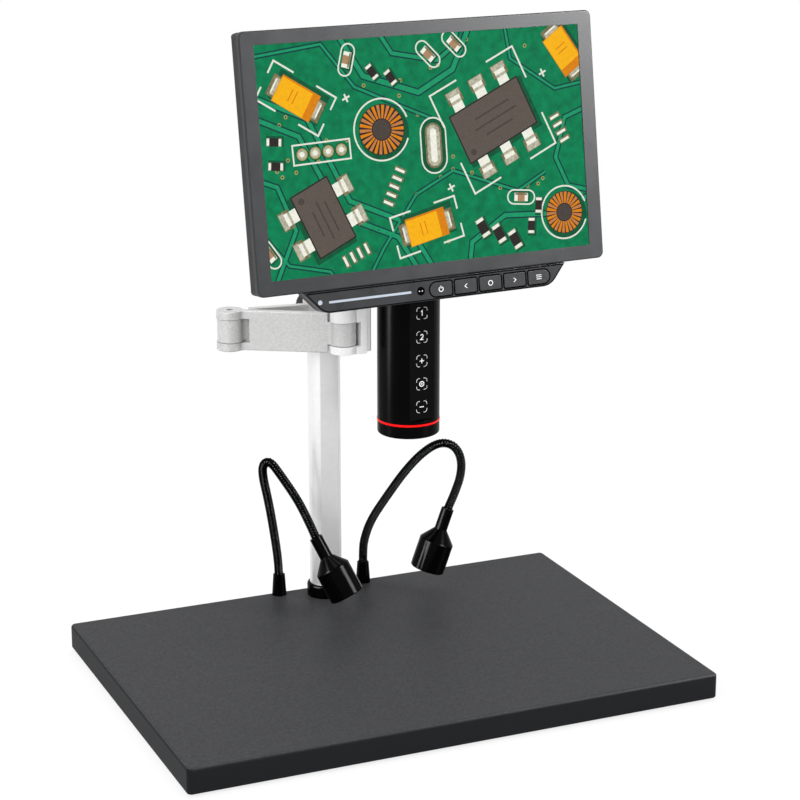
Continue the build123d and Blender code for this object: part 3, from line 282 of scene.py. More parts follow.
def makeFinish(look):
    # cloudy colour and gloss, with a fine bump on top of softened edges
    look = {**plainLook, **look}
    base = (look["roughness"], look["metal"], look["specular"])
    finish, tree, shader, place = startFinish(look["name"], *base)
    clouds = (look["spread"], look["cloud"], noiseDetail["cloud"])
    tint = cloudyColour(tree, place, look["colour"], *clouds)
    # a look's side colour paints shade on its upright faces
    if "side" in look:
        tint = paintedSideShade(tree, tint, look["side"])
    tree.links.new(tint, shader.inputs["Base Color"])
    smudge = addNoise(tree, place, look["cloud"] * smudgeSize, noiseDetail["smudge"])
    gloss = (look["roughness"] - look["roughChange"], look["roughness"] + look["roughChange"])
    tree.links.new(mapValue(tree, smudge, noiseRange, gloss), shader.inputs["Roughness"])
    bump = tree.nodes.new("ShaderNodeBump")
    setSockets(bump, {"Strength": look["strength"], "Distance": look["depth"] * mm})
    tree.links.new(addNoise(tree, place, look["grain"], noiseDetail["grain"]), bump.inputs["Height"])
    if "edge" in look:
        soft = tree.nodes.new("ShaderNodeBevel")
        soft.samples = edgeSamples
        soft.inputs["Radius"].default_value = look["edge"] * mm
        tree.links.new(soft.outputs["Normal"], bump.inputs["Normal"])
    tree.links.new(bump.outputs["Normal"], shader.inputs["Normal"])
    return finish


looks = {
    # base, column and its fittings
    "base": {"name": "baseMattePlastic", "nodes": ["base_board"], "gleam": "screen",
             # side: a darker colour on the board's upright faces, painted shade
             "colour": (0.034, 0.0345, 0.0365), "side": (0.0075, 0.008, 0.0092), "spread": 0.20,
             "cloud": 1.6, "grain": 0.55, "depth": 0.06, "strength": 0.6, "specular": 0.06,
             "roughness": 0.50, "roughChange": 0.015},
    "foot": {"name": "footRubber", "nodes": ["base_pad"], "colour": (0.02, 0.02, 0.02), "grain": 0.8,
             "depth": 0.1, "specular": 0.2, "roughness": 0.8},
    "inlet": {"name": "inletPlastic", "nodes": ["power_inlet"], "colour": (0.012, 0.012, 0.012),
              "cloud": 4, "grain": 0.4, "depth": 0.03, "specular": 0.3, "roughness": 0.4},
    "column": {"name": "columnAnodised", "nodes": ["column"], "colour": (0.82, 0.82, 0.825),
               "spread": 0.02, "cloud": 4, "grain": 0.5, "depth": 0.04, "strength": 0.6,
               "metal": 0.75, "roughness": 0.42},
    "boot": {"name": "bootPlastic", "nodes": ["column_boot"], "gleam": "lamp",
             "colour": (0.001, 0.001, 0.0012), "depth": 0.02, "edge": 0.2, "specular": 0.03,
             "roughness": 0.16},
    "cap": {"name": "capPlastic", "nodes": ["column_cap", "tube_cap"], "colour": (0.008, 0.008, 0.009),
            "grain": 0.5, "depth": 0.04, "edge": 0.3, "specular": 0.10, "roughness": 0.42},
    "milled": {"name": "milledAluminium", "nodes": ["column_foot", "backlight"],
               "colour": (0.62, 0.62, 0.62), "spread": 0.05, "cloud": 3, "grain": 0.2, "metal": 0.8,
               "roughness": 0.35},
    "steel": {"name": "fastenerSteel", "colour": (0.60, 0.60, 0.61), "spread": 0.08, "cloud": 2,
              "nodes": ["column_screws", "clamp_stud", "elbow_pin", "wrist_pin", "mount_screws",
                        "tilt_shaft"],
              "grain": 0.2, "edge": 0.2, "metal": 0.8, "roughness": 0.32},
    "liner": {"name": "linerNylon", "nodes": ["sleeve_liner"], "colour": (0.10, 0.10, 0.10),
              "spread": 0.05, "cloud": 5, "grain": 0.4, "roughness": 0.5},
    "knob": {"name": "knobPlastic", "nodes": ["clamp_knob"], "gleam": "lamp",
             "colour": (0.005, 0.005, 0.006), "cloud": 6, "grain": 0.5, "depth": 0.05, "edge": 0.3,
             "specular": 0.10, "roughness": 0.4},
    # arm and head
    "arm": {"name": "armBlastedAluminium", "nodes": ["rear_arm", "front_arm"],
            "colour": (0.50, 0.50, 0.497), "spread": 0.11, "cloud": 1.2, "depth": 0.08,
            "strength": 1.0, "edge": 0.4, "metal": 0.35, "roughness": 0.42},
    "plate": {"name": "plateSatinAluminium", "nodes": ["wrist_bracket", "mount_plate"],
              "colour": (0.76, 0.76, 0.76), "spread": 0.03, "cloud": 2, "depth": 0.05,
              "strength": 0.6, "edge": 0.4, "metal": 0.35, "roughness": 0.38},
    "nylon": {"name": "nylonWasher", "nodes": ["elbow_washers", "wrist_washers", "tilt_washers"],
              "colour": (0.72, 0.71, 0.67), "spread": 0.04, "cloud": 3, "grain": 0.3,
              "roughness": 0.5},
    "tube": {"name": "tubeGlossBlack", "nodes": ["tube_shell", "nose_cap"], "gleam": "tube",
             "colour": (0.0007, 0.0007, 0.0009), "spread": 0.2, "cloud": 30, "grain": 4,
             "depth": 0.004, "strength": 0.2, "edge": 0.2, "specular": 0.03, "roughness": 0.24,
             "roughChange": 0.02},
    "touch": {"name": "touchGlossBlack", "nodes": ["touch_strip"], "colour": (0.0022, 0.0022, 0.0026),
              "spread": 0.2, "cloud": 20, "grain": 4, "depth": 0.003, "strength": 0.2,
              "specular": 0.045, "roughness": 0.12, "roughChange": 0.02},
    "ring": {"name": "ringRed", "nodes": ["red_ring"], "colour": (0.92, 0.004, 0.004), "spread": 0.05,
             "specular": 0.1, "roughness": 0.3},
    "lensBlack": {"name": "lensBlackAnodised", "nodes": ["lens_barrel"], "metal": 0.3,
                  "colour": (0.006, 0.006, 0.007), "cloud": 4, "grain": 0.4, "roughness": 0.3},
    # screen
    "bezel": {"name": "bezelSatinPlastic", "nodes": ["front_bezel"], "gleam": "screen",
              "colour": (0.0285, 0.0295, 0.0320), "spread": 0.05, "cloud": 20, "depth": 0.015,
              "strength": 0.4, "edge": 0.3, "specular": 0.10, "roughness": 0.36},
    "cover": {"name": "coverTexturedPlastic", "nodes": ["rear_cover"], "colour": (0.010, 0.010, 0.011),
              "spread": 0.06, "cloud": 20, "grain": 0.9, "depth": 0.09, "strength": 0.7,
              "specular": 0.25, "roughness": 0.5},
    "blackSteel": {"name": "fastenerBlackSteel", "nodes": ["cover_screws"], "spread": 0.08,
                   "colour": (0.03, 0.03, 0.031), "cloud": 2, "grain": 0.2, "edge": 0.2,
                   "metal": 0.4, "roughness": 0.38},
    "strip": {"name": "stripSatinPlastic", "nodes": ["control_strip"], "gleam": "screen",
              "colour": (0.0290, 0.0300, 0.0320), "spread": 0.05, "cloud": 20, "depth": 0.012,
              "strength": 0.4, "specular": 0.09, "roughness": 0.30},
    "key": {"name": "keySatinPlastic", "gleam": "screen", "colour": (0.0290, 0.0298, 0.0315),
            "nodes": ["key_power", "key_left", "key_ok", "key_right", "key_menu"], "spread": 0.05,
            "cloud": 6, "grain": 0.5, "depth": 0.012, "strength": 0.4, "specular": 0.09,
            "roughness": 0.34},
    "led": {"name": "ledDiffuser", "nodes": ["status_led", "light_bar"], "colour": (0.42, 0.47, 0.54),
            "spread": 0.03, "grain": 0.5, "roughness": 0.4},
    "infrared": {"name": "infraredWindow", "nodes": ["ir_window"], "colour": (0.001, 0.0008, 0.0010),
                 "spread": 0.2, "cloud": 2, "grain": 1, "depth": 0.002, "specular": 0.03,
                 "roughness": 0.1, "roughChange": 0.02},
    "tin": {"name": "platedTin", "nodes": ["rear_ports"], "colour": (0.5, 0.5, 0.49), "spread": 0.08,
            "cloud": 3, "grain": 0.4, "metal": 1.0, "roughness": 0.28},
    # gooseneck lamps
    "lampBlack": {"name": "lampSatinBlack", "gleam": "lamp", "colour": (0.0008, 0.0008, 0.0009),
                  "nodes": ["lamp_ferrules", "left_lamp_shell", "right_lamp_shell",
                            "left_lamp_ring", "right_lamp_ring"],
                  "spread": 0.15, "strength": 0.4, "edge": 0.2, "specular": 0.03,
                  "roughness": 0.14, "roughChange": 0.03},
    "neck": {"name": "neckSatinBlack", "nodes": ["left_neck", "right_neck"], "gleam": "neck",
             "colour": (0.0008, 0.0008, 0.0008), "spread": 0.15, "cloud": 4, "grain": 0.4,
             "specular": 0.006, "roughness": 0.18, "roughChange": 0.02},
}

# solder mask over copper lines
circuitLook = {
    "name": "circuitSolderMask",
    "nodes": ["touch_board", "sensor_board", "main_board", "key_board", "left_led_board",
              "right_led_board"],
    "roughness": 0.35, "coat": 0.3, "linesPerMetre": 220.0, "lineWidth": 0.03,
    "masks": ((0.006, 0.10, 0.04), (0.008, 0.12, 0.05)), "lines": (0.02, 0.19, 0.08),
}
glassLook = {"transmission": 0.95, "ior": 1.5, "dust": 2, "dustRoughness": 0.05}
glassPieces = [
    {"name": "lampLensGlass", "nodes": ["left_lamp_lens", "right_lamp_lens"],
     "colour": (0.93, 0.95, 0.97), "roughness": 0.08},
    {"name": "frontLensGlass", "nodes": ["front_lens"], "colour": (0.72, 0.80, 0.86), "roughness": 0.02},
]


def makeCircuitGreen():
    look = circuitLook
    finish, tree, shader, place = startFinish(look["name"], look["roughness"])
    lines = tree.nodes.new("ShaderNodeTexBrick")
    first, second = look["masks"]
    setSockets(lines, {"Scale": look["linesPerMetre"], "Mortar Size": look["lineWidth"],
                       "Color1": (*first, 1), "Color2": (*second, 1), "Mortar": (*look["lines"], 1)})
    tree.links.new(place.outputs["Object"], lines.inputs["Vector"])
    tree.links.new(lines.outputs["Color"], shader.inputs["Base Color"])
    shader.inputs["Coat Weight"].default_value = look["coat"]
    return finish


def makeClearGlass(look):
    finish, tree, shader, place = startFinish(look["name"], look["roughness"])
    setSockets(shader, {"Base Color": (*look["colour"], 1), "IOR": glassLook["ior"],
                        "Transmission Weight": glassLook["transmission"]})
    dust = addNoise(tree, place, glassLook["dust"], noiseDetail["dust"])
    dusty = (look["roughness"], look["roughness"] + glassLook["dustRoughness"])
    tree.links.new(mapValue(tree, dust, noiseRange, dusty), shader.inputs["Roughness"])
    return finish


def dressNode(name, finish):
    materials = nodes[name].data.materials
    materials.clear()
    materials.append(finish)


def dressNodes(look, finish):
    for name in look["nodes"]:
        dressNode(name, finish)
        if "gleam" in look:
            gleamTakers[look["gleam"]].objects.link(nodes[name])


finishes = {key: makeFinish(look) for key, look in looks.items()}
for key, look in looks.items():
    dressNodes(look, finishes[key])
dressNodes(circuitLook, makeCircuitGreen())
for look in glassPieces:
    dressNodes(look, makeClearGlass(look))
print("finishes made:", len(looks) + len(glassPieces) + 1)


# shapes: outlines on a plane, walls between rings, and pieces made from them
def arcPoints(x, y, radius, start, end, count):
    # points round an arc, angles in degrees
    points = []
    for i in range(count + 1):
        angle = math.radians(start + (end - start) * i / count)
        points.append((x + radius * math.cos(angle), y + radius * math.sin(angle)))
    return points


def disc(x, y, radius, count):
    return arcPoints(x, y, radius, 0, 360, count)[:-1]


def oblong(wide, high, x=0.0, y=0.0):
    return [(x - wide / 2, y - high / 2), (x + wide / 2, y - high / 2),
            (x + wide / 2, y + high / 2), (x - wide / 2, y + high / 2)]


def pill(half, radius, count):
    # a lying oblong with round ends; half is the way from its middle to the centre of an end
    return arcPoints(half, 0, radius, -90, 90, count) + arcPoints(-half, 0, radius, 90, 270, count)


def turned(points, x, y, angle):
    # an outline turned by angle and moved to x, y
    cosine, sine = math.cos(math.radians(angle)), math.sin(math.radians(angle))
    return [(x + px * cosine - py * sine, y + px * sine + py * cosine) for px, py in points]


def cleanOutline(outline):
    # no two points in one place, and anticlockwise; a sliver comes back empty
    tiny = 1e-4
    clean = []
    for spot in outline:
        if not clean or math.dist(spot, clean[-1]) > tiny:
            clean.append(spot)
    if len(clean) > 2 and math.dist(clean[0], clean[-1]) < tiny:
        clean.pop()
    area = sum(a[0] * b[1] - b[0] * a[1] for a, b in zip(clean, clean[1:] + clean[:1])) / 2
    if len(clean) < 3 or abs(area) < tiny:
        return []
    return clean if area > 0 else clean[::-1]


def joinRings(mesh, rings):
    # walls between neighbouring rings, closed at both ends
    for first, second in zip(rings, rings[1:]):
        for i in range(len(first)):
            j = (i + 1) % len(first)
            mesh.faces.new((first[i], first[j], second[j], second[i]))
    mesh.faces.new(list(reversed(rings[0])))
    mesh.faces.new(rings[-1])


def placeMesh(mesh, name, finish):
    data = bpy.data.meshes.new(name)
    mesh.to_mesh(data)
    mesh.free()
    data.materials.append(finish)
    return addObject(name, data)


def smoothByAngle(piece, degrees):
    piece.data.shade_smooth()
    piece.data.set_sharp_from_angle(angle=math.radians(degrees))


class Sheet:
    # flat drawing on a plane, in millimetres; each stroke and patch becomes a thin closed prism
    def __init__(self, centre, right, up, window=None):
        self.centre = Vector(centre)
        self.right = Vector(right).normalized()
        self.up = Vector(up).normalized()
        self.out = self.right.cross(self.up)
        self.window = window
        self.outlines = {}

    def point(self, x, y, height):
        return self.centre + (self.right * x + self.up * y + self.out * height) * mm

    def add(self, ink, outline, height):
        outline = self.clip(outline) if self.window else outline
        if len(outline) > 2:
            self.outlines.setdefault(ink, []).append((outline, height))

    def clip(self, outline):
        # cuts an outline to the window, side by side
        for axis, sign in ((0, 1), (0, -1), (1, 1), (1, -1)):
            limit = self.window[axis]
            kept = []
            for here, after in zip(outline, outline[1:] + outline[:1]):
                inHere = limit - sign * here[axis]
                inAfter = limit - sign * after[axis]
                if inHere >= 0:
                    kept.append(here)
                if inHere * inAfter < 0:
                    share = inHere / (inHere - inAfter)
                    kept.append(tuple(a + (b - a) * share for a, b in zip(here, after)))
            outline = kept
        return outline

    def stroke(self, ink, points, width, height, closed=False):
        # a line of even width with mitred corners
        shortestMitre = 0.35
        count = len(points)
        sides = []
        for i, here in enumerate(points):
            before = points[i - 1] if (i or closed) else here
            after = points[(i + 1) % count] if (i < count - 1 or closed) else here
            arriving = Vector((here[0] - before[0], here[1] - before[1]))
            leaving = Vector((after[0] - here[0], after[1] - here[1]))
            arriving = arriving.normalized() if arriving.length else leaving.normalized()
            leaving = leaving.normalized() if leaving.length else arriving
            along = (arriving + leaving).normalized()
            across = Vector((-along.y, along.x))
            square = Vector((-leaving.y, leaving.x))
            reach = width / 2 / max(shortestMitre, across.dot(square))
            sides.append(((here[0] + across.x * reach, here[1] + across.y * reach),
                          (here[0] - across.x * reach, here[1] - across.y * reach)))
        last = count if closed else count - 1
        for i in range(last):
            first, second = sides[i], sides[(i + 1) % count]
            self.add(ink, [first[0], first[1], second[1], second[0]], height)

    def build(self, name, ink, finish, body, slot):
        mesh = bmesh.new()
        for outline, height in self.outlines.get(ink, []):
            outline = cleanOutline(outline)
            if outline:
                joinRings(mesh, [[mesh.verts.new(self.point(x, y, level)) for x, y in outline]
                                 for level in (0.0, height)])
        piece = placeMesh(mesh, name, finish)
        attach(piece, body)


# where the screen stands
screenPlace = {"yaw": 4.2, "tilt": 8.4, "panelThick": 2.4, "picture": (217.0, 135.6),
               "stripFront": 0.6}  # how far the control strip stands in front of the panel
screenYaw = math.radians(screenPlace["yaw"])
screenTilt = math.radians(screenPlace["tilt"])
upright = Vector((0, 0, 1))
screenRight = Vector((math.cos(screenYaw), math.sin(screenYaw), 0))
screenBack = Vector((-math.sin(screenYaw), math.cos(screenYaw), 0))
screenOut = upright * math.sin(screenTilt) - screenBack * math.cos(screenTilt)
screenUp = screenOut.cross(screenRight)
panelLow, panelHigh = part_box("lcd_panel")
screenCentre = (panelLow + panelHigh) / 2 + screenOut * screenPlace["panelThick"] / 2 * mm

# inks of the magnified circuit board: colour, how far it drifts, and the mottling's size in millimetres
inkLooks = {
    "board": ((0.0015, 0.200, 0.078), 0.22, 5),
    "groove": ((0.004, 0.050, 0.052), 0.25, 2),
    "copper": ((0.010, 0.300, 0.130), 0.12, 3),
    "shadow": ((0.004, 0.095, 0.040), 0.2, 4),
    "legend": ((0.78, 0.79, 0.70), 0.10, 1.2),
    "chip": ((0.112, 0.090, 0.076), 0.14, 0.9),
    "chipEdge": ((0.026, 0.022, 0.020), 0.2, 1.5),
    "chipMark": ((0.070, 0.056, 0.048), 0.15, 1),
    "bright": ((0.86, 0.86, 0.76), 0.10, 1.6),
    "silver": ((0.47, 0.45, 0.34), 0.30, 1.8),
    "dull": ((0.19, 0.17, 0.085), 0.35, 1.8),
    "amber": ((0.93, 0.45, 0.006), 0.06, 2),
    "amberDark": ((0.70, 0.22, 0.004), 0.10, 2),
    "ceramic": ((0.42, 0.24, 0.13), 0.12, 1.2),
    "copperWire": ((0.55, 0.20, 0.06), 0.2, 1),
    "gold": ((0.36, 0.32, 0.10), 0.25, 1),
}
displayFront = {"colour": (0.004, 0.004, 0.004), "roughness": 0.3, "specular": 0.02, "glow": 1.0}


def inkName(ink):
    return "picture" + ink[0].upper() + ink[1:]


def makeInk(ink):
    # one colour of the lit picture: bright by itself, with the mottling of a magnified surface
    front = displayFront
    finish, tree, shader, place = startFinish(inkName(ink), front["roughness"], specular=front["specular"])
    setSockets(shader, {"Base Color": (*front["colour"], 1), "Emission Strength": front["glow"]})
    tint = cloudyColour(tree, place, *inkLooks[ink], noiseDetail["ink"])
    tree.links.new(tint, shader.inputs["Emission Color"])
    return finish


inks = {ink: makeInk(ink) for ink in inkLooks}
dressNode("lcd_panel", inks["board"])

# layer heights over the panel, in millimetres
layer = {"groove": 0.010, "copper": 0.014, "shadow": 0.018, "legend": 0.022, "pad": 0.026, "lead": 0.032,
         "leadTop": 0.038, "body": 0.046, "bodyTop": 0.052, "mark": 0.058}
picture = Sheet(screenCentre, screenRight, screenUp, window=[size / 2 for size in screenPlace["picture"]])


# a part of the picture is drawn at its spot: x, y and angle
def patch(ink, level, outline, spot):
    picture.add(ink, turned(outline, *spot), layer[level])


def printLine(points, spot, width, closed=False):
    picture.stroke("legend", turned(points, *spot), width, layer["legend"], closed)


bracketLook = {"arm": 0.18, "width": 1.1}  # each arm stops at this share of the side


def drawBracket(spot, wide, high):
    # printed corner marks round a part
    arm = bracketLook["arm"]
    for sx in (1, -1):
        for sy in (1, -1):
            corner = [(sx * wide / 2, sy * high * arm), (sx * wide / 2, sy * high / 2),
                      (sx * wide * arm, sy * high / 2)]
            printLine(corner, spot, bracketLook["width"])


# width, length and place of each strip, as shares of the lead's own
leadStrips = [
    ("dull", "pad", 1.45, 0.62, 0.72),
    ("silver", "lead", 1.25, 0.30, 0.86),
    ("bright", "leadTop", 1, 0.42, 0.20),
    ("silver", "leadTop", 1, 0.14, 0.47),
    ("bright", "leadTop", 1, 0.20, 0.64),
]
chipLook = {"shadowGrow": 3, "shadowShift": (1.6, -1.8), "edgeGrow": 1.2, "topShrink": 0.6,
            "dotInset": 5, "dotRadius": 2.0, "barHigh": 1.1, "barShift": 2.0,
            "bars": [(0.20, 0.50), (0.01, 0.62), (-0.18, 0.40)]}  # place and length, as shares


def drawLead(spot, wide, long, outward):
    # one bent lead on its pad; outward is 1 or -1 along the lead
    for ink, level, wideShare, longShare, place in leadStrips:
        strip = oblong(wide * wideShare, long * longShare, 0, outward * long * place)
        patch(ink, level, strip, spot)


def drawChip(spot, wide, high, leadCount, leadWide, leadLong):
    # flat chip with leads on both long sides, a dot and moulded bars, no characters
    look = chipLook
    shadow = oblong(wide + look["shadowGrow"], high + look["shadowGrow"], *look["shadowShift"])
    patch("shadow", "shadow", shadow, spot)
    for side in (1, -1):
        for i in range(leadCount):
            foot = ((i - (leadCount - 1) / 2) * wide / leadCount, side * high / 2)
            drawLead((*turned([foot], *spot)[0], spot[2]), leadWide, leadLong, side)
    patch("chipEdge", "body", oblong(wide + look["edgeGrow"], high + look["edgeGrow"]), spot)
    patch("chip", "bodyTop", oblong(wide - look["topShrink"], high - look["topShrink"]), spot)
    dot = disc(look["dotInset"] - wide / 2, look["dotInset"] - high / 2, look["dotRadius"], 24)
    patch("chipMark", "mark", dot, spot)
    for place, long in look["bars"]:
        bar = oblong(wide * long, look["barHigh"], look["barShift"], high * place)
        patch("chipMark", "mark", bar, spot)


# flat blocks as layers from the board up: ink, height, and each oblong's width, height, x and y
blockLayers = {
    "amber": [("shadow", "shadow", (19, 35, 1.4, -1.4)), ("dull", "pad", (13.26, 6, 0, 15.5)),
              ("dull", "pad", (13.26, 6, 0, -15.5)), ("silver", "lead", (10.54, 3.6, 0, 14.5)),
              ("silver", "lead", (10.54, 3.6, 0, -14.5)), ("bright", "leadTop", (8.5, 1, 0, 15.9)),
              ("bright", "leadTop", (8.5, 1, 0, -15.9)), ("amberDark", "body", (17, 27)),
              ("amber", "bodyTop", (15.6, 21.5, -0.4, 2.4)), ("amberDark", "mark", (7.82, 0.7, 0, 0.8)),
              ("amberDark", "mark", (7.82, 0.7, 0, 4.0))],
    "ceramic": [("shadow", "shadow", (6.2, 11, 0.5, -0.5)), ("bright", "body", (5, 9.5)),
                ("ceramic", "bodyTop", (5.2, 4.94)), ("dull", "mark", (1, 8.55, 1.8, 0))],
    "largeResistor": [("shadow", "shadow", (7.4, 13.6, 0.6, -0.7)), ("silver", "body", (6, 12)),
                      ("bright", "bodyTop", (4.8, 11.28)), ("chipEdge", "mark", (6.1, 7.44))],
    "smallResistor": [("shadow", "shadow", (6, 11.1, 0.6, -0.7)), ("silver", "body", (4.6, 9.5)),
                      ("bright", "bodyTop", (3.68, 8.93)), ("chipEdge", "mark", (4.7, 5.89))],
    "pad": [("dull", "pad", (3, 8)), ("bright", "lead", (1.6, 6.4, -0.3, 0.2))],
}


def drawBlock(kind, spot):
    for ink, level, size in blockLayers[kind]:
        patch(ink, level, oblong(*size), spot)


coilLook = {"turns": 26, "hub": 0.44, "rim": 0.97, "hubHalf": 0.55, "rimHalf": 1.05, "core": 0.40,
            "shadow": (1.5, -1.8, 1.6), "ringGap": 3.2, "ringWidth": 1.0}


def drawCoil(x, y, radius):
    # round wound inductor seen from above
    look = coilLook
    shiftX, shiftY, grow = look["shadow"]
    picture.add("shadow", disc(x + shiftX, y + shiftY, radius + grow, 40), layer["shadow"])
    picture.add("chipEdge", disc(x, y, radius, 44), layer["body"])
    hub = radius * look["hub"]
    rim = radius * look["rim"]
    wire = [(hub, -look["hubHalf"]), (rim, -look["rimHalf"]),
            (rim, look["rimHalf"]), (hub, look["hubHalf"])]
    for i in range(look["turns"]):
        patch("copperWire" if i % 2 else "amberDark", "bodyTop", wire, (x, y, i * 360 / look["turns"]))
    picture.add("chipMark", disc(x, y, radius * look["core"], 30), layer["mark"])
    ring = arcPoints(x, y, radius + look["ringGap"], 20, 340, 40)
    picture.stroke("legend", ring, look["ringWidth"], layer["legend"])


crystalLook = {"long": 27, "high": 11, "ringGap": 3, "ringWidth": 0.9,
               "cans": [("shadow", "shadow", 2.4), ("dull", "body", 0.0), ("silver", "bodyTop", -1.2),
                        ("bright", "mark", -3.4)]}


def drawCrystal(spot):
    # oscillator in a round-ended metal can, with its printed outline
    look = crystalLook
    half, radius = (look["long"] - look["high"]) / 2, look["high"] / 2
    for ink, level, grow in look["cans"]:
        patch(ink, level, pill(half, radius + grow, 10), spot)
    printLine(pill(half, radius + look["ringGap"], 10), spot, look["ringWidth"], closed=True)


jointLook = {"count": 4, "pitch": 8.5, "frameGrow": 3, "frameWidth": 1.0,
             "discs": [("shadow", "shadow", 4.3), ("gold", "pad", 3.6), ("silver", "lead", 2.9),
                       ("bright", "leadTop", 1.6)]}
padPitch = 5.2


def rowOf(spot, count, pitch):
    # a row of spots side by side, with the given one at its middle
    return [(*turned([((i - (count - 1) / 2) * pitch, 0)], *spot)[0], spot[2]) for i in range(count)]


def drawJoints(spot):
    # a row of round solder joints on gold pads
    look = jointLook
    for joint in rowOf(spot, look["count"], look["pitch"]):
        for ink, level, radius in look["discs"]:
            picture.add(ink, disc(*joint[:2], radius, 18), layer[level])
    rowLength = look["count"] * look["pitch"]
    outline = oblong(rowLength + look["frameGrow"], look["pitch"] + look["frameGrow"])
    printLine(outline, spot, look["frameWidth"], closed=True)


# what lies on the magnified board: places in millimetres from the middle, angles beside its turn
boardTurn = 24.0
boardParts = {
    "traces": [
        (2.6, [(-120, 30), (-84, 14), (-60, -34), (-24, -50), (-6, -80)]),
        (2.6, [(-120, 42), (-78, 24), (-54, -26), (-18, -42), (4, -80)]),
        (2.6, [(120, -34), (84, -46), (50, -44), (26, -58), (22, -80)]),
        (3.0, [(-60, 80), (-40, 46), (-4, 34), (20, 46), (38, 80)]),
        (2.2, [(120, 20), (96, 12), (88, -12), (96, -30), (120, -36)]),
        (2.2, [(-34, 80), (-20, 58), (10, 52), (22, 60), (28, 80)]),
        (2.2, [(-120, -6), (-100, -14), (-90, -40), (-110, -80)]),
        (1.4, [(-120, 60), (-66, 66), (-46, 40), (-10, 24), (4, 18)]),
        (1.4, [(-50, -80), (-34, -56), (-10, -26), (16, -14), (60, -30), (80, -20)]),
        (1.4, [(56, 80), (60, 50), (90, 30), (120, 34)]),
        (1.4, [(-120, -30), (-96, -60), (-70, -66), (-60, -80)]),
    ],
    "traceGap": 1.7,
    # width and height of a chip, then how many leads, and a lead's width and length
    "chips": [((46, 14, 0), 52, 31, 3, 7.4, 13), ((-72, -34, -90), 40, 26, 2, 8.0, 12)],
    "brackets": [((46, 14, 0), 64, 66), ((-84, 36, 34), 25, 45), ((-4, -46, 78), 25, 45)],
    "coils": [(-30, 14, 15), (92, -46, 13)],  # x, y and radius
    "crystal": (4, 2, 66),
    "joints": (-70, 4, -22),
    "padRows": [((-24, -20, 40), 5), ((92, 6, 90), 4), ((-52, -58, 0), 4)],
    "blocks": {
        "amber": [(-84, 36, 34), (-4, -46, 78), (98, 52, 10)],
        "ceramic": [(4, 56, 20), (22, 61, 20), (-50, 56, -40), (62, -34, 60), (-108, -52, 10)],
        "largeResistor": [(34, -50, 2), (45, -54.6, 2), (56, -59.2, 2)],
        "smallResistor": [(-34, 48, 10), (-22, 44, 10), (74, -40, -30), (68, -52, -30), (-100, -2, 60),
                          (-100, 12, 60)],
    },
    # a pill's half length, radius and line width, printed round each ceramic block
    "ceramicRing": (5.225, 4.25, 0.9),
    "holes": 46, "holeReach": (104, 64), "holeRadii": (1.25, 0.55), "holeSeed": 7,
    "plusMarks": [(-52, 34, 0), (82, 40, 0), (14, -24, 0)], "plusArm": 2.6, "plusWidth": 1.1,
}


def onBoard(spot):
    return (spot[0], spot[1], spot[2] + boardTurn)


def drawTraces():
    # copper lines between two grooves
    for width, points in boardParts["traces"]:
        picture.stroke("groove", points, width + boardParts["traceGap"], layer["groove"])
        picture.stroke("copper", points, width, layer["copper"])


def drawHoles():
    rng = random.Random(boardParts["holeSeed"])
    reachX, reachY = boardParts["holeReach"]
    rim, bore = boardParts["holeRadii"]
    for i in range(boardParts["holes"]):
        x, y = rng.uniform(-reachX, reachX), rng.uniform(-reachY, reachY)
        picture.add("gold", disc(x, y, rim, 12), layer["groove"])
        picture.add("groove", disc(x, y, bore, 10), layer["copper"])


def drawPicture():
    parts = boardParts
    drawTraces()
    for spot, *sizes in parts["chips"]:
        drawChip(onBoard(spot), *sizes)
    for spot, wide, high in parts["brackets"]:
        drawBracket(onBoard(spot), wide, high)
    for kind, spots in parts["blocks"].items():
        for spot in spots:
            drawBlock(kind, onBoard(spot))
    half, radius, width = parts["ceramicRing"]
    for x, y, angle in parts["blocks"]["ceramic"]:
        printLine(pill(half, radius, 8), onBoard((x, y, angle + 90)), width, closed=True)
    for coil in parts["coils"]:
        drawCoil(*coil)
    drawCrystal(onBoard(parts["crystal"]))
    drawJoints(onBoard(parts["joints"]))
    for spot, count in parts["padRows"]:
        for padSpot in rowOf(onBoard(spot), count, padPitch):
            drawBlock("pad", padSpot)
    drawHoles()
    arm = parts["plusArm"]
    for spot in parts["plusMarks"]:
        printLine([(-arm, 0), (arm, 0)], onBoard(spot), parts["plusWidth"])
        printLine([(0, -arm), (0, arm)], onBoard(spot), parts["plusWidth"])


drawPicture()
for ink in inkLooks:
    if ink in picture.outlines:
        picture.build(inkName(ink), ink, inks[ink], "monitor", "display_glass")
print("display picture drawn")

# signs on the keys: power mark, arrow, ring, arrow and three bars, in millimetres
signLook = {"name": "signPaint", "colour": (0.86, 0.87, 0.88), "spread": 0.04, "cloud": 2, "grain": 0.3,
            "depth": 0.004, "roughness": 0.5}
signPaint = makeFinish(signLook)
keyRow = {"firstX": 2.2, "pitch": 17.15, "y": -83.9, "proud": 0.15, "thick": 0.04, "stroke": 0.42}
keySigns = {
    "power": [arcPoints(0, -0.1, 1.45, 125, 415, 22), [(0, 0.25), (0, 1.85)]],
    "left": [[(0.8, 1.3), (-0.8, 0), (0.8, -1.3)]],
    "ok": [arcPoints(0, 0, 1.45, 0, 360, 26)],
    "right": [[(-0.8, 1.3), (0.8, 0), (-0.8, -1.3)]],
    "menu": [[(-1.8, step), (1.8, step)] for step in (1.2, 0, -1.2)],
}


def stripSheet(proud=0.0):
    # a sheet on the control strip's front, or proud of it
    front = screenOut * (screenPlace["stripFront"] + proud) * mm
    return Sheet(screenCentre + front, screenRight, screenUp)


def keyX(number):
    return keyRow["firstX"] + number * keyRow["pitch"]


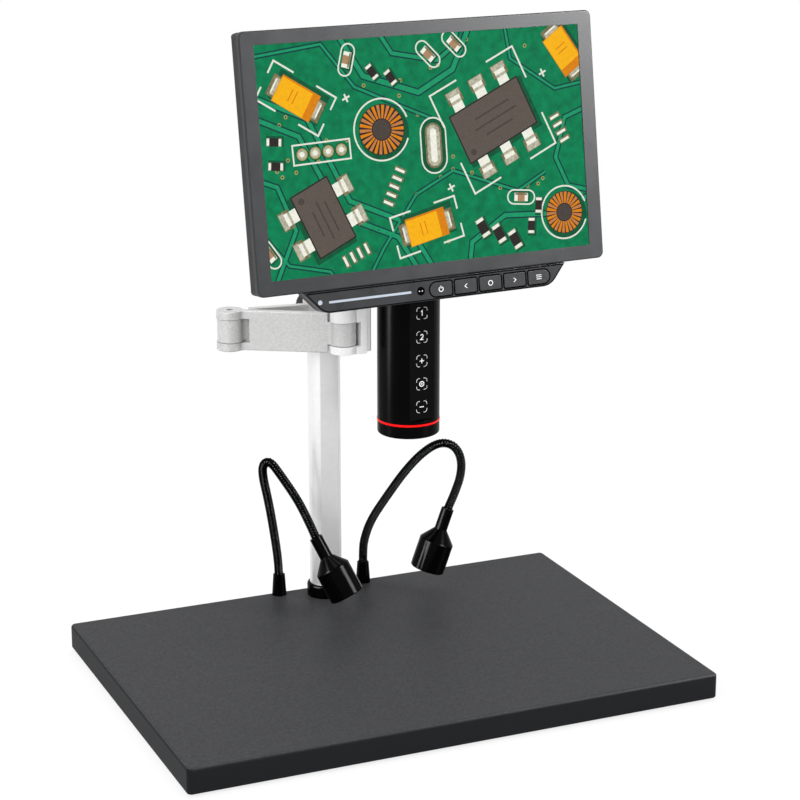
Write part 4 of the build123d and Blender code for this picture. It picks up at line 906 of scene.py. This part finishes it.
def drawKeySigns():
    sheet = stripSheet(keyRow["proud"])
    for number, (key, lines) in enumerate(keySigns.items()):
        for line in lines:
            moved = turned(line, keyX(number), keyRow["y"], 0)
            sheet.stroke(key, moved, keyRow["stroke"], keyRow["thick"])
        sheet.build("sign_" + key, key, signPaint, key + "_key", "key_plastic")


# signs on the touch strip, each inside four rounded corners, and their heights over the bench
touchLook = {"size": 7.2, "corner": 1.5, "arm": 0.8, "cornerStroke": 0.25, "stroke": 0.55, "thick": 0.03,
             "dotRadius": 0.5, "tubeRadius": 19.5, "flatDepth": 1.9}
touchSigns = {
    211.3: [[(-0.75, 0.9), (0.15, 1.6), (0.15, -1.6)]],
    196.2: [arcPoints(0, 0.75, 0.9, 165, -35, 12) + [(-0.95, -1.5), (1.05, -1.5)]],
    181.1: [[(-1.5, 0), (1.5, 0)], [(0, -1.5), (0, 1.5)]],
    166.4: [arcPoints(0, 0, 1.5, 0, 360, 26)],
    151.7: [[(-1.5, 0), (1.5, 0)]],
}
dottedSign = 166.4


def drawTouchSigns():
    look = touchLook
    ringLow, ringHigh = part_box("red_ring")
    axis = (ringLow + ringHigh) / 2
    face = Vector((axis.x, axis.y, 0)) - screenBack * (look["tubeRadius"] - look["flatDepth"]) * mm
    sheet = Sheet(face, screenRight, upright)
    half = look["size"] / 2
    inset = half - look["corner"]
    tip = inset - look["arm"]
    corner = [(half, tip)] + arcPoints(inset, inset, look["corner"], 0, 90, 8) + [(tip, half)]
    for z, lines in touchSigns.items():
        for angle in (0, 90, 180, 270):
            sheet.stroke("sign", turned(corner, 0, z, angle), look["cornerStroke"], look["thick"])
        for line in lines:
            sheet.stroke("sign", turned(line, 0, z, 0), look["stroke"], look["thick"])
    sheet.add("sign", disc(0, dottedSign, look["dotRadius"], 14), look["thick"])
    sheet.build("touchSigns", "sign", signPaint, "head", "touch_glass")


# dark joints round the keys and along the strip's rim; its outline narrows from the top to the bottom
stripLook = {
    "top": -76.9, "bottom": -90.2, "topEnds": (-88.8, 90.2), "bottomEnds": (-76.2, 79.3), "corner": 11.5,
    "thick": 0.02, "groove": 0.85, "rim": 0.6, "rimInset": 0.75, "bendSteps": 8,
}
keyShape = {"wide": 15.0, "high": 8.4, "corner": 0.9, "gap": 0.44}
sensorLook = {"place": (-11.5, -83.8), "spots": (-1.0, 1.0), "radius": 0.32}


def roundedKey(x, y, grow, leftRound, rightRound):
    # a key's outline, going round from its lower right corner
    wide, high = keyShape["wide"] / 2 + grow, keyShape["high"] / 2 + grow
    points = []
    for start, sx, sy, fully in ((-90, 1, -1, rightRound), (0, 1, 1, rightRound),
                                 (90, -1, 1, leftRound), (180, -1, -1, leftRound)):
        corner = high if fully else keyShape["corner"] + grow
        middle = (x + sx * (wide - corner), y + sy * (high - corner))
        points += arcPoints(*middle, corner, start, start + 90, 8)
    return points


def rimSide(end, turnIn):
    # down one slanted end of the strip and round its corner; turnIn points to the strip's middle
    look = stripLook
    inset, low = look["rimInset"], look["bottom"] + look["rimInset"]
    foot, head = look["bottomEnds"][end], look["topEnds"][end]
    slope = Vector((head - foot, look["top"] - look["bottom"])).normalized()
    half = math.tan(math.acos(-abs(slope.x)) / 2)
    corner = foot + turnIn * inset / half
    reach = (look["corner"] - inset) / half
    start = (corner + slope.x * reach, low + slope.y * reach)
    stop = (corner + turnIn * reach, low)
    top = head - slope.x / slope.y * look["groove"] + turnIn * inset / slope.y
    side = [(top, look["top"] - look["groove"])]
    for step in range(look["bendSteps"] + 1):
        share = step / look["bendSteps"]
        weights = ((1 - share) ** 2, 2 * share * (1 - share), share ** 2)
        side.append(tuple(weights[0] * a + weights[1] * b + weights[2] * c
                          for a, b, c in zip(start, (corner, low), stop)))
    return side


def drawStripLines():
    look = stripLook
    lines = stripSheet()
    lastKey = len(keySigns) - 1
    for i in range(len(keySigns)):
        outline = roundedKey(keyX(i), keyRow["y"], keyShape["gap"], i == 0, i == lastKey)
        lines.stroke("line", outline, look["groove"], look["thick"], closed=True)
    rim = rimSide(0, 1) + rimSide(1, -1)[::-1]
    lines.stroke("line", rim, look["rim"], look["thick"])
    lines.stroke("line", [rim[0], rim[-1]], look["groove"], look["thick"])
    lines.build("stripLines", "line", finishes["infrared"], "monitor", "strip_plastic")


def drawSensorSpots():
    spots = stripSheet()
    x, y = sensorLook["place"]
    for side in sensorLook["spots"]:
        spots.add("spot", disc(x + side, y, sensorLook["radius"], 12), stripLook["thick"])
    spots.build("sensorSpots", "spot", signPaint, "monitor", "ir_plastic")


drawKeySigns()
drawTouchSigns()
drawStripLines()
drawSensorSpots()
print("signs drawn")

# column, boot and cap: round, with a flat front and a slightly flat back
columnLook = {"centre": (1.6, 101.35), "radius": 10.25, "flat": 8.4, "back": 10.1, "foot": 17.0,
              "top": 283.0, "bevel": 0.3, "steps": 72, "sharpFrom": 24}
bootLook = {"radius": 12.1, "foot": 17.0, "height": 8.5, "lip": 1.7}
capLook = {"radius": 10.6, "flat": 8.75, "back": 10.45, "height": 3.0, "lip": 1.2}
lipSteps = 6


def roundedSection(radius, front, back, shrink=0.0):
    # a circle cut flat in front and behind, with the same number of points for any shrink
    points = []
    for i in range(columnLook["steps"]):
        angle = 2 * math.pi * i / columnLook["steps"]
        x, y = (radius - shrink) * math.cos(angle), (radius - shrink) * math.sin(angle)
        points.append((x, min(back - shrink, max(-(front - shrink), y))))
    return points


def stackSections(name, sections, finish, node):
    # sections are (height, outline) from the foot up
    mesh = bmesh.new()
    middleX, middleY = columnLook["centre"]
    joinRings(mesh, [[mesh.verts.new(((middleX + x) * mm, (middleY + y) * mm, z * mm)) for x, y in outline]
                     for z, outline in sections])
    piece = placeMesh(mesh, name, finish)
    smoothByAngle(piece, columnLook["sharpFrom"])
    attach(piece, "base")
    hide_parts(node)
    return piece


def lipped(shape, foot, height, lip):
    # straight up, then rounded over at the top
    sections = [(foot, roundedSection(*shape)), (foot + height - lip, roundedSection(*shape))]
    for step in range(1, lipSteps + 1):
        angle = math.radians(90 * step / lipSteps)
        shrink = lip * (1 - math.cos(angle))
        sections.append((foot + height - lip * (1 - math.sin(angle)), roundedSection(*shape, shrink)))
    return sections


def raiseColumn():
    look = columnLook
    shape = (look["radius"], look["flat"], look["back"])
    sections = [(look["foot"], roundedSection(*shape)),
                (look["top"] - look["bevel"], roundedSection(*shape)),
                (look["top"], roundedSection(*shape, look["bevel"]))]
    stackSections("columnTube", sections, finishes["column"], "column")


def addBoot():
    sections = lipped([bootLook["radius"]] * 3, bootLook["foot"], bootLook["height"], bootLook["lip"])
    boot = stackSections("columnBoot", sections, finishes["boot"], "column_boot")
    gleamTakers["lamp"].objects.link(boot)


def addCap():
    shape = (capLook["radius"], capLook["flat"], capLook["back"])
    sections = lipped(shape, columnLook["top"], capLook["height"], capLook["lip"])
    stackSections("columnCap", sections, finishes["cap"], "column_cap")


raiseColumn()
addBoot()
addCap()
print("column raised")

# goosenecks: a wound sheath along the points of each neck's own tube
neckLook = {"radius": 2.50, "ridge": 0.76, "pitch": 1.60, "around": 22, "perRidge": 8,
            "sharpFrom": 60}
neckRoutes = {
    "left": [(-27.0, 111.0, 22.0), (-27.0, 111.0, 36.5), (-29.6, 110.9, 57.0), (-33.3, 110.5, 80.0),
             (-38.3, 109.0, 101.5), (-37.6, 106.6, 108.8), (-34.6, 102.3, 110.2), (-30.3, 96.3, 102.5),
             (-23.2, 85.2, 88.5), (-19.2, 76.0, 75.5), (-16.5, 72.3, 67.0), (-15.7, 71.5, 65.1)],
    "right": [(31.6, 111.0, 22.0), (31.6, 111.0, 36.5), (32.2, 110.6, 46.0), (36.0, 107.8, 60.0),
              (44.6, 102.0, 76.5), (54.5, 95.9, 94.0), (64.0, 89.3, 107.5), (73.5, 83.2, 115.3),
              (81.5, 78.4, 113.8), (85.6, 75.4, 105.5), (84.9, 74.5, 94.0), (80.5, 74.9, 82.0),
              (76.2, 75.7, 72.2), (75.5, 75.8, 70.1)],
}


def smoothLine(route):
    # close points along a spline through the route
    curve = bpy.data.curves.new("neckRoute", "CURVE")
    curve.dimensions = "3D"
    curve.resolution_u = 32
    spline = curve.splines.new("NURBS")
    spline.points.add(len(route) - 1)
    for point, place in zip(spline.points, route):
        point.co = (place[0] * mm, place[1] * mm, place[2] * mm, 1)
    spline.order_u = 3
    spline.use_endpoint_u = True
    holder = addObject("neckRoute", curve)
    line = bpy.data.meshes.new_from_object(holder)
    points = [vertex.co.copy() for vertex in line.vertices]
    bpy.data.objects.remove(holder)
    return points


def evenSteps(points, step):
    # the same line in even steps, and the length of one
    lengths = [0.0]
    for before, after in zip(points, points[1:]):
        lengths.append(lengths[-1] + (after - before).length)
    count = max(2, round(lengths[-1] / step))
    result = []
    i = 0
    for n in range(count + 1):
        target = lengths[-1] * n / count
        while i < len(points) - 2 and lengths[i + 1] < target:
            i += 1
        run = lengths[i + 1] - lengths[i]
        share = (target - lengths[i]) / run if run else 0
        result.append(points[i].lerp(points[i + 1], min(1.0, share)))
    return result, lengths[-1] / count


def woundTube(mesh, route):
    # the ridges run round the sheath in one long thread
    pitch = neckLook["pitch"] * mm
    around = neckLook["around"]
    points, step = evenSteps(smoothLine(route), pitch / neckLook["perRidge"])
    rings = []
    side = Vector((1, 0, 0))
    for i, here in enumerate(points):
        before, after = points[max(0, i - 1)], points[min(len(points) - 1, i + 1)]
        along = (after - before).normalized()
        side = (side - along * side.dot(along)).normalized()
        other = along.cross(side)
        ring = []
        for k in range(around):
            angle = 2 * math.pi * k / around
            phase = (i * step / pitch + k / around) % 1.0
            swell = math.sqrt(max(0.0, 1 - (2 * phase - 1) ** 2))
            radius = (neckLook["radius"] + neckLook["ridge"] * (swell - 0.5)) * mm
            outward = side * math.cos(angle) + other * math.sin(angle)
            ring.append(mesh.verts.new(here + outward * radius))
        rings.append(ring)
    joinRings(mesh, rings)


def addNecks():
    for side, route in neckRoutes.items():
        mesh = bmesh.new()
        woundTube(mesh, route)
        sheath = placeMesh(mesh, side + "Sheath", finishes["neck"])
        smoothByAngle(sheath, neckLook["sharpFrom"])
        gleamTakers["neck"].objects.link(sheath)
        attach(sheath, side + "_gooseneck")
        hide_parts(side + "_neck")


addNecks()
print("goosenecks wound")
